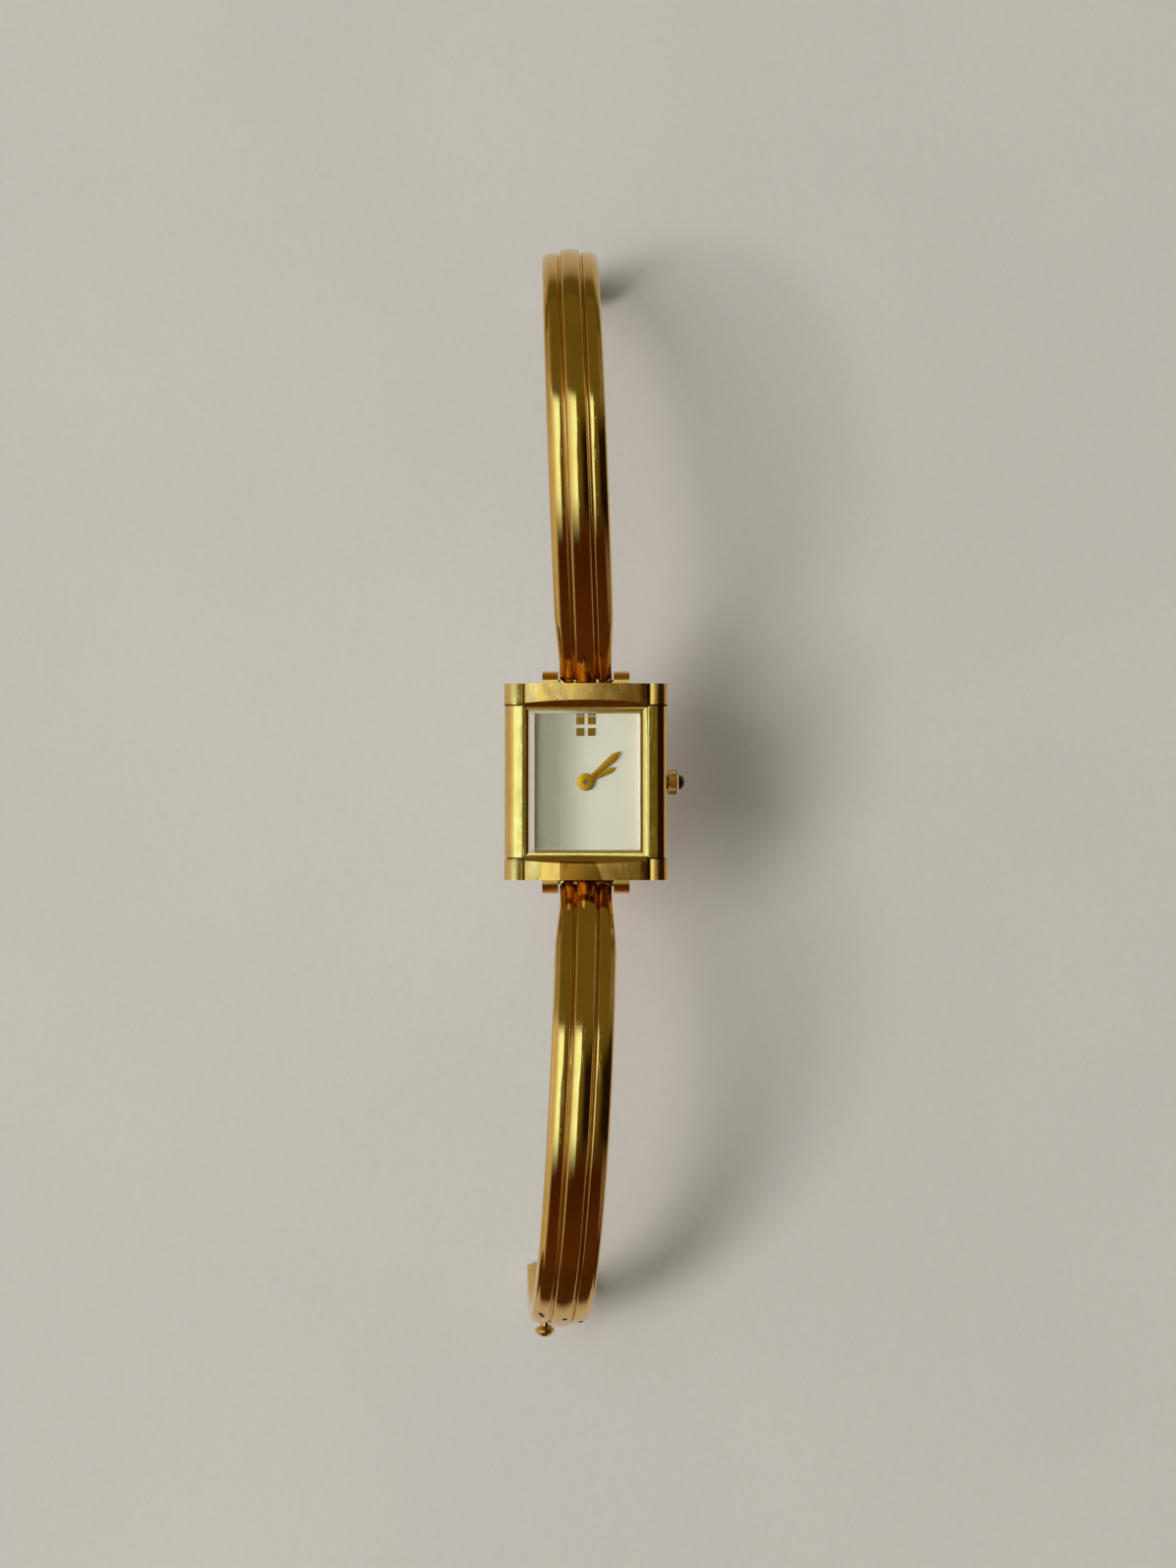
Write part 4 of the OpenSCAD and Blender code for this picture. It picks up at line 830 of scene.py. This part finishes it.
def return_spring():
    """The real turns of the return spring round the button's shaft."""
    wire, radius, turns = 0.055, 0.68, 6.5
    low, high = SPRING_SEAT + 0.02 + wire, T_SIDE - 0.12 - wire
    place = radial_place(at_end(BUTTON_S), BUTTON_X, -1)
    steps, around = 260, 8
    # share of the wire that lies flat at each end
    flat = 0.1
    verts = []
    for k in range(steps + 1):
        t = k / steps
        rise = (high - low) * min(1, max(0, (t - flat) / (1 - 2 * flat)))
        a = 2 * math.pi * turns * t
        for j in range(around):
            b = 2 * math.pi * j / around
            r = radius + wire * math.cos(b)
            verts.append(place(r * math.cos(a), r * math.sin(a), low + rise + wire * math.sin(b)))
    piece = new_object("spring_coiled", verts, ring_faces(steps + 1, around), STEEL, smooth=60)
    stand_for(piece, "clasp_spring")
    axis = joints["clasp_button_press"]["axis"]
    seat = place(0, 0, SPRING_SEAT)
    tuple(axis)
    tuple(c * MM for c in seat)
    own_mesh(piece)


button()
return_spring()
softened("clasp_tongue", SPRING_GOLD, 0.05)
softened("clasp_catch", SPRING_GOLD, 0.03)
softened("clasp_cover", SOFT_GOLD, 0.03)


# Case

# the four corners of a rectangle, in the order of the quarters of a turn
CORNERS = ((1, 1), (-1, 1), (-1, -1), (1, -1))


def block_edge(x, y, z):
    """True on the inner top edges of the corner blocks, beside the cuts."""
    return abs(abs(x) - CUT_X - CUT_W) < 0.01 and abs(y) > CUT_Y + CUT_W - 0.01 and z > RAIL_TOP - 0.02


softened("case_body", CASE, 0.05, angle=26.0, smooth=20.0, chosen=block_edge, chamfer=0.18)
softened("case_back", CASE, 0.08, segments=3)
softened("dial_frame", CASE, 0.04)
softened("crown_tube", CROWN_GOLD, 0.03)


def sloped_ring():
    """The ring round the crystal, its face sloped a little inward."""
    low, high = box_mm("crystal_gasket")
    inner = box_mm("crystal")[1]
    w, l, iw, il = high.x, high.y, inner.x + 0.01, inner.y + 0.01
    rows = [(w, l, low.z), (w, l, high.z - 0.01), (w - 0.01, l - 0.01, high.z),
            (iw + 0.02, il + 0.02, high.z - 0.036), (iw, il, high.z - 0.056), (iw, il, low.z)]
    verts = [(sx * hw, sy * hl, z) for hw, hl, z in rows for sx, sy in CORNERS]
    faces = ring_faces(len(rows), len(CORNERS), closed_rows=True)
    stand_for(new_object("ring_sloped", verts, faces, RING, smooth=10), "crystal_gasket")


def crystal():
    """Flat crystal with a polished bevel round its face."""
    low, high = box_mm("crystal")
    # how far the edge stands in from the full size, and the height there
    rows = [(0.05, low.z), (0, low.z + 0.05), (0, high.z - 0.26), (0.02, high.z - 0.24),
            (0.52, high.z - 0.01), (0.56, high.z)]
    r, steps = 0.12, 6
    verts = []
    for inset, z in rows:
        w, l = high.x - inset - r, high.y - inset - r
        for quarter, (sx, sy) in enumerate(CORNERS):
            for k in range(steps + 1):
                a = math.pi / 2 * (quarter + k / steps)
                verts.append((sx * w + r * math.cos(a), sy * l + r * math.sin(a), z))
    faces = ring_faces(len(rows), len(CORNERS) * (steps + 1))
    piece = new_object("crystal_bevelled", verts, faces, crystal_glass(), smooth=4)
    stand_for(piece, "crystal")


sloped_ring()
crystal()
dress(nodes["dial"], silver_dial())


# Hands and squares

def hand(name, node, length, root, wide, reading, bore):
    """A hand with a low ridge, widest near its point, on a round boss. reading is its angle from twelve."""
    low, high = (corner.z for corner in box_mm(node))
    start, shoulder, tip = 0.5, 0.83 * length, 0.02
    outline = [(-root, start), (root, start), (wide, shoulder), (tip, length), (-tip, length),
               (-wide, shoulder)]
    # how far each corner of the face stands back from the outline
    setback = (0.05, 0, 0, 0.05, 0.05, 0.05)
    a = math.radians(-reading)
    points = [(x, y, low) for x, y in outline] + [(x, y, high - 0.045) for x, y in outline] \
        + [(x * 0.84, y - back, high - 0.006) for (x, y), back in zip(outline, setback)] \
        + [(0, start, high), (0, shoulder, high)]
    verts = [(x * math.cos(a) - y * math.sin(a), x * math.sin(a) + y * math.cos(a), z) for x, y, z in points]
    n = len(outline)
    # t is the first point of the face, and p and q are the ends of its ridge
    t, p, q = 2 * n, 3 * n, 3 * n + 1
    faces = [tuple(reversed(range(n)))] + ring_faces(3, n, cap=False) \
        + [(t + 1, t + 2, q, p), (t + 2, t + 3, q), (t + 3, t + 4, q), (t + 4, t + 5, q), (t + 5, t, p, q),
           (t, t + 1, p)]
    blade = new_object("cutter", verts, faces, HANDS, smooth=12)
    boss = 0.92
    profile = [(bore, low), (boss - 0.03, low), (boss, low + 0.03), (boss, high - 0.05),
               (boss - 0.05, high - 0.005), (boss - 0.12, high), (bore, high), (bore, low)]
    piece = lathe(name, profile, HANDS, lambda x, y, h: (x, y, h))
    cut(piece, [blade], "UNION")
    tidy(piece, HANDS, smooth=14)
    stand_for(piece, node)


hand("hour_hand_ridged", "hour_hand", length=3.6, root=0.19, wide=0.30, reading=65.0, bore=0.62)
hand("minute_hand_ridged", "minute_hand", length=4.95, root=0.21, wide=0.39, reading=48.5, bore=0.28)
softened("hour_markers", SQUARES, 0.025, smooth=20.0)
dress(nodes["cannon_pinion"], arbor_metal())


# Crown

def along_stem(x, y, h):
    """Maps a lathe's axis to the stem of the crown."""
    return (h, x, STEM_Z + y)


def fluted_crown():
    """Crown with rounded flutes, a bevelled shoulder and a hollow back."""
    back, face = (corner.x for corner in box_mm("crown"))
    r, flutes, steps, deep = 1.32, 38, 10, 0.09
    bore, hollow, floor, shoulder = 0.32, 1.0, back + 0.5, face - 0.18
    # radius, place along the stem, depth of the flutes there
    profile = [(bore, floor, 0), (hollow, floor, 0), (hollow, back + 0.03, 0), (hollow + 0.03, back, 0),
               (r - 0.16, back, 0), (r - 0.07, back + 0.03, 0.02), (r, back + 0.12, deep),
               (r, back + 0.14, deep), (r, shoulder - 0.14, deep), (r, shoulder - 0.12, deep),
               (r - 0.06, shoulder - 0.03, 0.03), (r - 0.14, shoulder, 0), (r - 0.26, face - 0.09, 0),
               (0.95, face - 0.01, 0), (0.92, face, 0), (bore, face, 0), (bore, floor, 0)]
    turns = flutes * steps
    verts = []
    for radius, x, depth in profile:
        for k in range(turns):
            a = 2 * math.pi * k / turns
            fluted = radius - depth * (0.5 - 0.5 * math.cos(a * flutes)) ** 1.6
            verts.append((x, fluted * math.cos(a), STEM_Z + fluted * math.sin(a)))
    faces = ring_faces(len(profile), turns, cap=False)
    stand_for(new_object("crown_fluted", verts, faces, CROWN_GOLD, smooth=38), "crown")


def stone():
    """Domed black stone in the crown."""
    low, high = box_mm("crown_stone")
    steps = 16
    profile = [(0, low.x), (high.y, low.x)]
    for k in range(1, steps + 1):
        a = math.pi / 2 * k / steps
        around = high.y * math.cos(a) ** 0.94 if k < steps else 0
        profile.append((around, low.x + (high.x - low.x) * math.sin(a)))
    stand_for(lathe("stone_domed", profile, black_stone(), along_stem, turns=72), "crown_stone")


fluted_crown()
stone()


# Finishes of the other pieces

FINISHES = {
    STEEL: ("setting_stem", "stem_pinion", "setting_lever", "lever_pin", "minute_wheel_post", "rotor_pinion",
            "movement_screws", "battery_clamp", "battery_contact"),
    BRASS: ("centre_wheel", "hour_wheel", "minute_wheel", "third_wheel", "intermediate_wheel"),
    NICKEL: ("main_plate",),
    BRIDGE: ("train_bridge",),
    IRON: ("stator", "coil_core"),
    MAGNET: ("rotor_magnet",),
    CELL: ("battery", "quartz_can"),
    RUBBER: ("back_gasket", "crown_gasket"),
    HOLDER: ("movement_holder",),
    CHIP: ("chip",),
    copper_turns(): ("coil_winding",),
    circuit_lacquer(): ("circuit_board",),
    SOFT_GOLD: ("hinge_pin_top", "hinge_pin_bottom", "tongue_rivets", "cover_rivets"),
}
for finish, names in FINISHES.items():
    for name in names:
        dress(nodes[name], finish)
        shade(nodes[name].data, smooth=30)


# Table, light and camera

def table():
    """The sheet of paper that the watch stands on."""
    size = 1500
    verts = [(size * sx, size * sy, FOOT_Z) for sx, sy in ((-1, -1), (1, -1), (1, 1), (-1, 1))]
    new_object("table", verts, [(0, 1, 2, 3)], table_paper())


def soft_room():
    """A plain room: a wide soft window up to the left, a pale wall beside it, dim elsewhere."""
    w = Shade(bpy.data.worlds.new("room"))
    bpy.context.scene.world = w.owner
    x, y, _ = w.towards()
    aside = y.size()
    # brown in front, olive beyond, a little lighter at the very front
    room = w.mix(y.ramp(-0.55, -0.05), (0.060, 0.017, 0.002), (0.145, 0.118, 0.028))
    room = w.mix(y.ramp(-0.6, -0.95), room, (0.085, 0.030, 0.004))
    # a dark band to the right between two grey corners, and the pale wall on the left
    room = w.mix(x.ramp(0.12, 0.38) * aside.ramp(0.5, 0.2) * 0.97, room, (0.012, 0.005, 0.001))
    room = w.mix(x.ramp(0.55, 0.95) * aside.ramp(0.25, 0.55), room, (0.25, 0.225, 0.19))
    room = w.mix(x.ramp(-0.3, -0.75) * y.ramp(0.5, 0.1, 0.5, 1.0), room, (0.56, 0.52, 0.46))
    # the window's right edge stands further to the right at its far end
    right_edge = y.ramp(0.08, 0.30, -0.0403, 0.03)
    window = (x - right_edge).ramp(0.002, -0.002) * x.ramp(-0.95, -0.6) \
        * y.ramp(0.56, 0.46) * y.ramp(-0.56, -0.14)
    room = w.mix(window, room, w.mix(x.ramp(-0.5, -0.12), (0.78, 0.78, 0.74), (1.2, 1.72, 1.85)))
    room = w.mix(w.light_path("Is Camera Ray"), room, (0.60, 0.575, 0.545))
    w.finish(w.node("ShaderNodeBackground", {"Color": room, "Strength": 1.0}))


def lamp(name, place, aim, size, spin, power, colour):
    """A rectangular lamp that no metal mirrors, turned by spin degrees about its own beam."""
    data = bpy.data.lights.new(name, "AREA")
    data.shape, data.size, data.size_y = "RECTANGLE", size[0], size[1]
    data.energy, data.color = power, colour
    o = bpy.data.objects.new(name, data)
    o.visible_glossy = False
    bpy.context.scene.collection.objects.link(o)
    o.location = place
    o.rotation_mode = "QUATERNION"
    o.rotation_quaternion = (Vector(aim) - Vector(place)).to_track_quat("-Z", "Y") \
        @ Quaternion((0, 0, 1), math.radians(spin))


def camera():
    """The photograph's place: nearly straight above the case, a little in front and to the right."""
    data = bpy.data.cameras.new("camera")
    o = bpy.data.objects.new("camera", data)
    bpy.context.scene.collection.objects.link(o)
    eye = Vector((3.4, -6.3, CASE_TOP + 250)) * MM
    aim = Vector((0.26, -0.26, CASE_TOP)) * MM
    ahead = (aim - eye).normalized()
    right = ahead.cross(Vector((0, 1, 0))).normalized()
    turn = Matrix((right, right.cross(ahead), -ahead)).transposed().to_4x4()
    o.matrix_world = Matrix.Translation(eye) @ turn
    data.lens, data.sensor_width = 53.9, 36.0
    data.clip_start, data.clip_end = 0.01, 10
    bpy.context.scene.camera = o


table()
soft_room()
lamp("window", place=(-0.74, -0.10, 1.34), aim=(0, 0, 0), size=(0.38, 0.84), spin=39, power=13.4,
     colour=(1.0, 0.97, 0.95))
camera()
bpy.context.scene.view_settings.view_transform = "Standard"
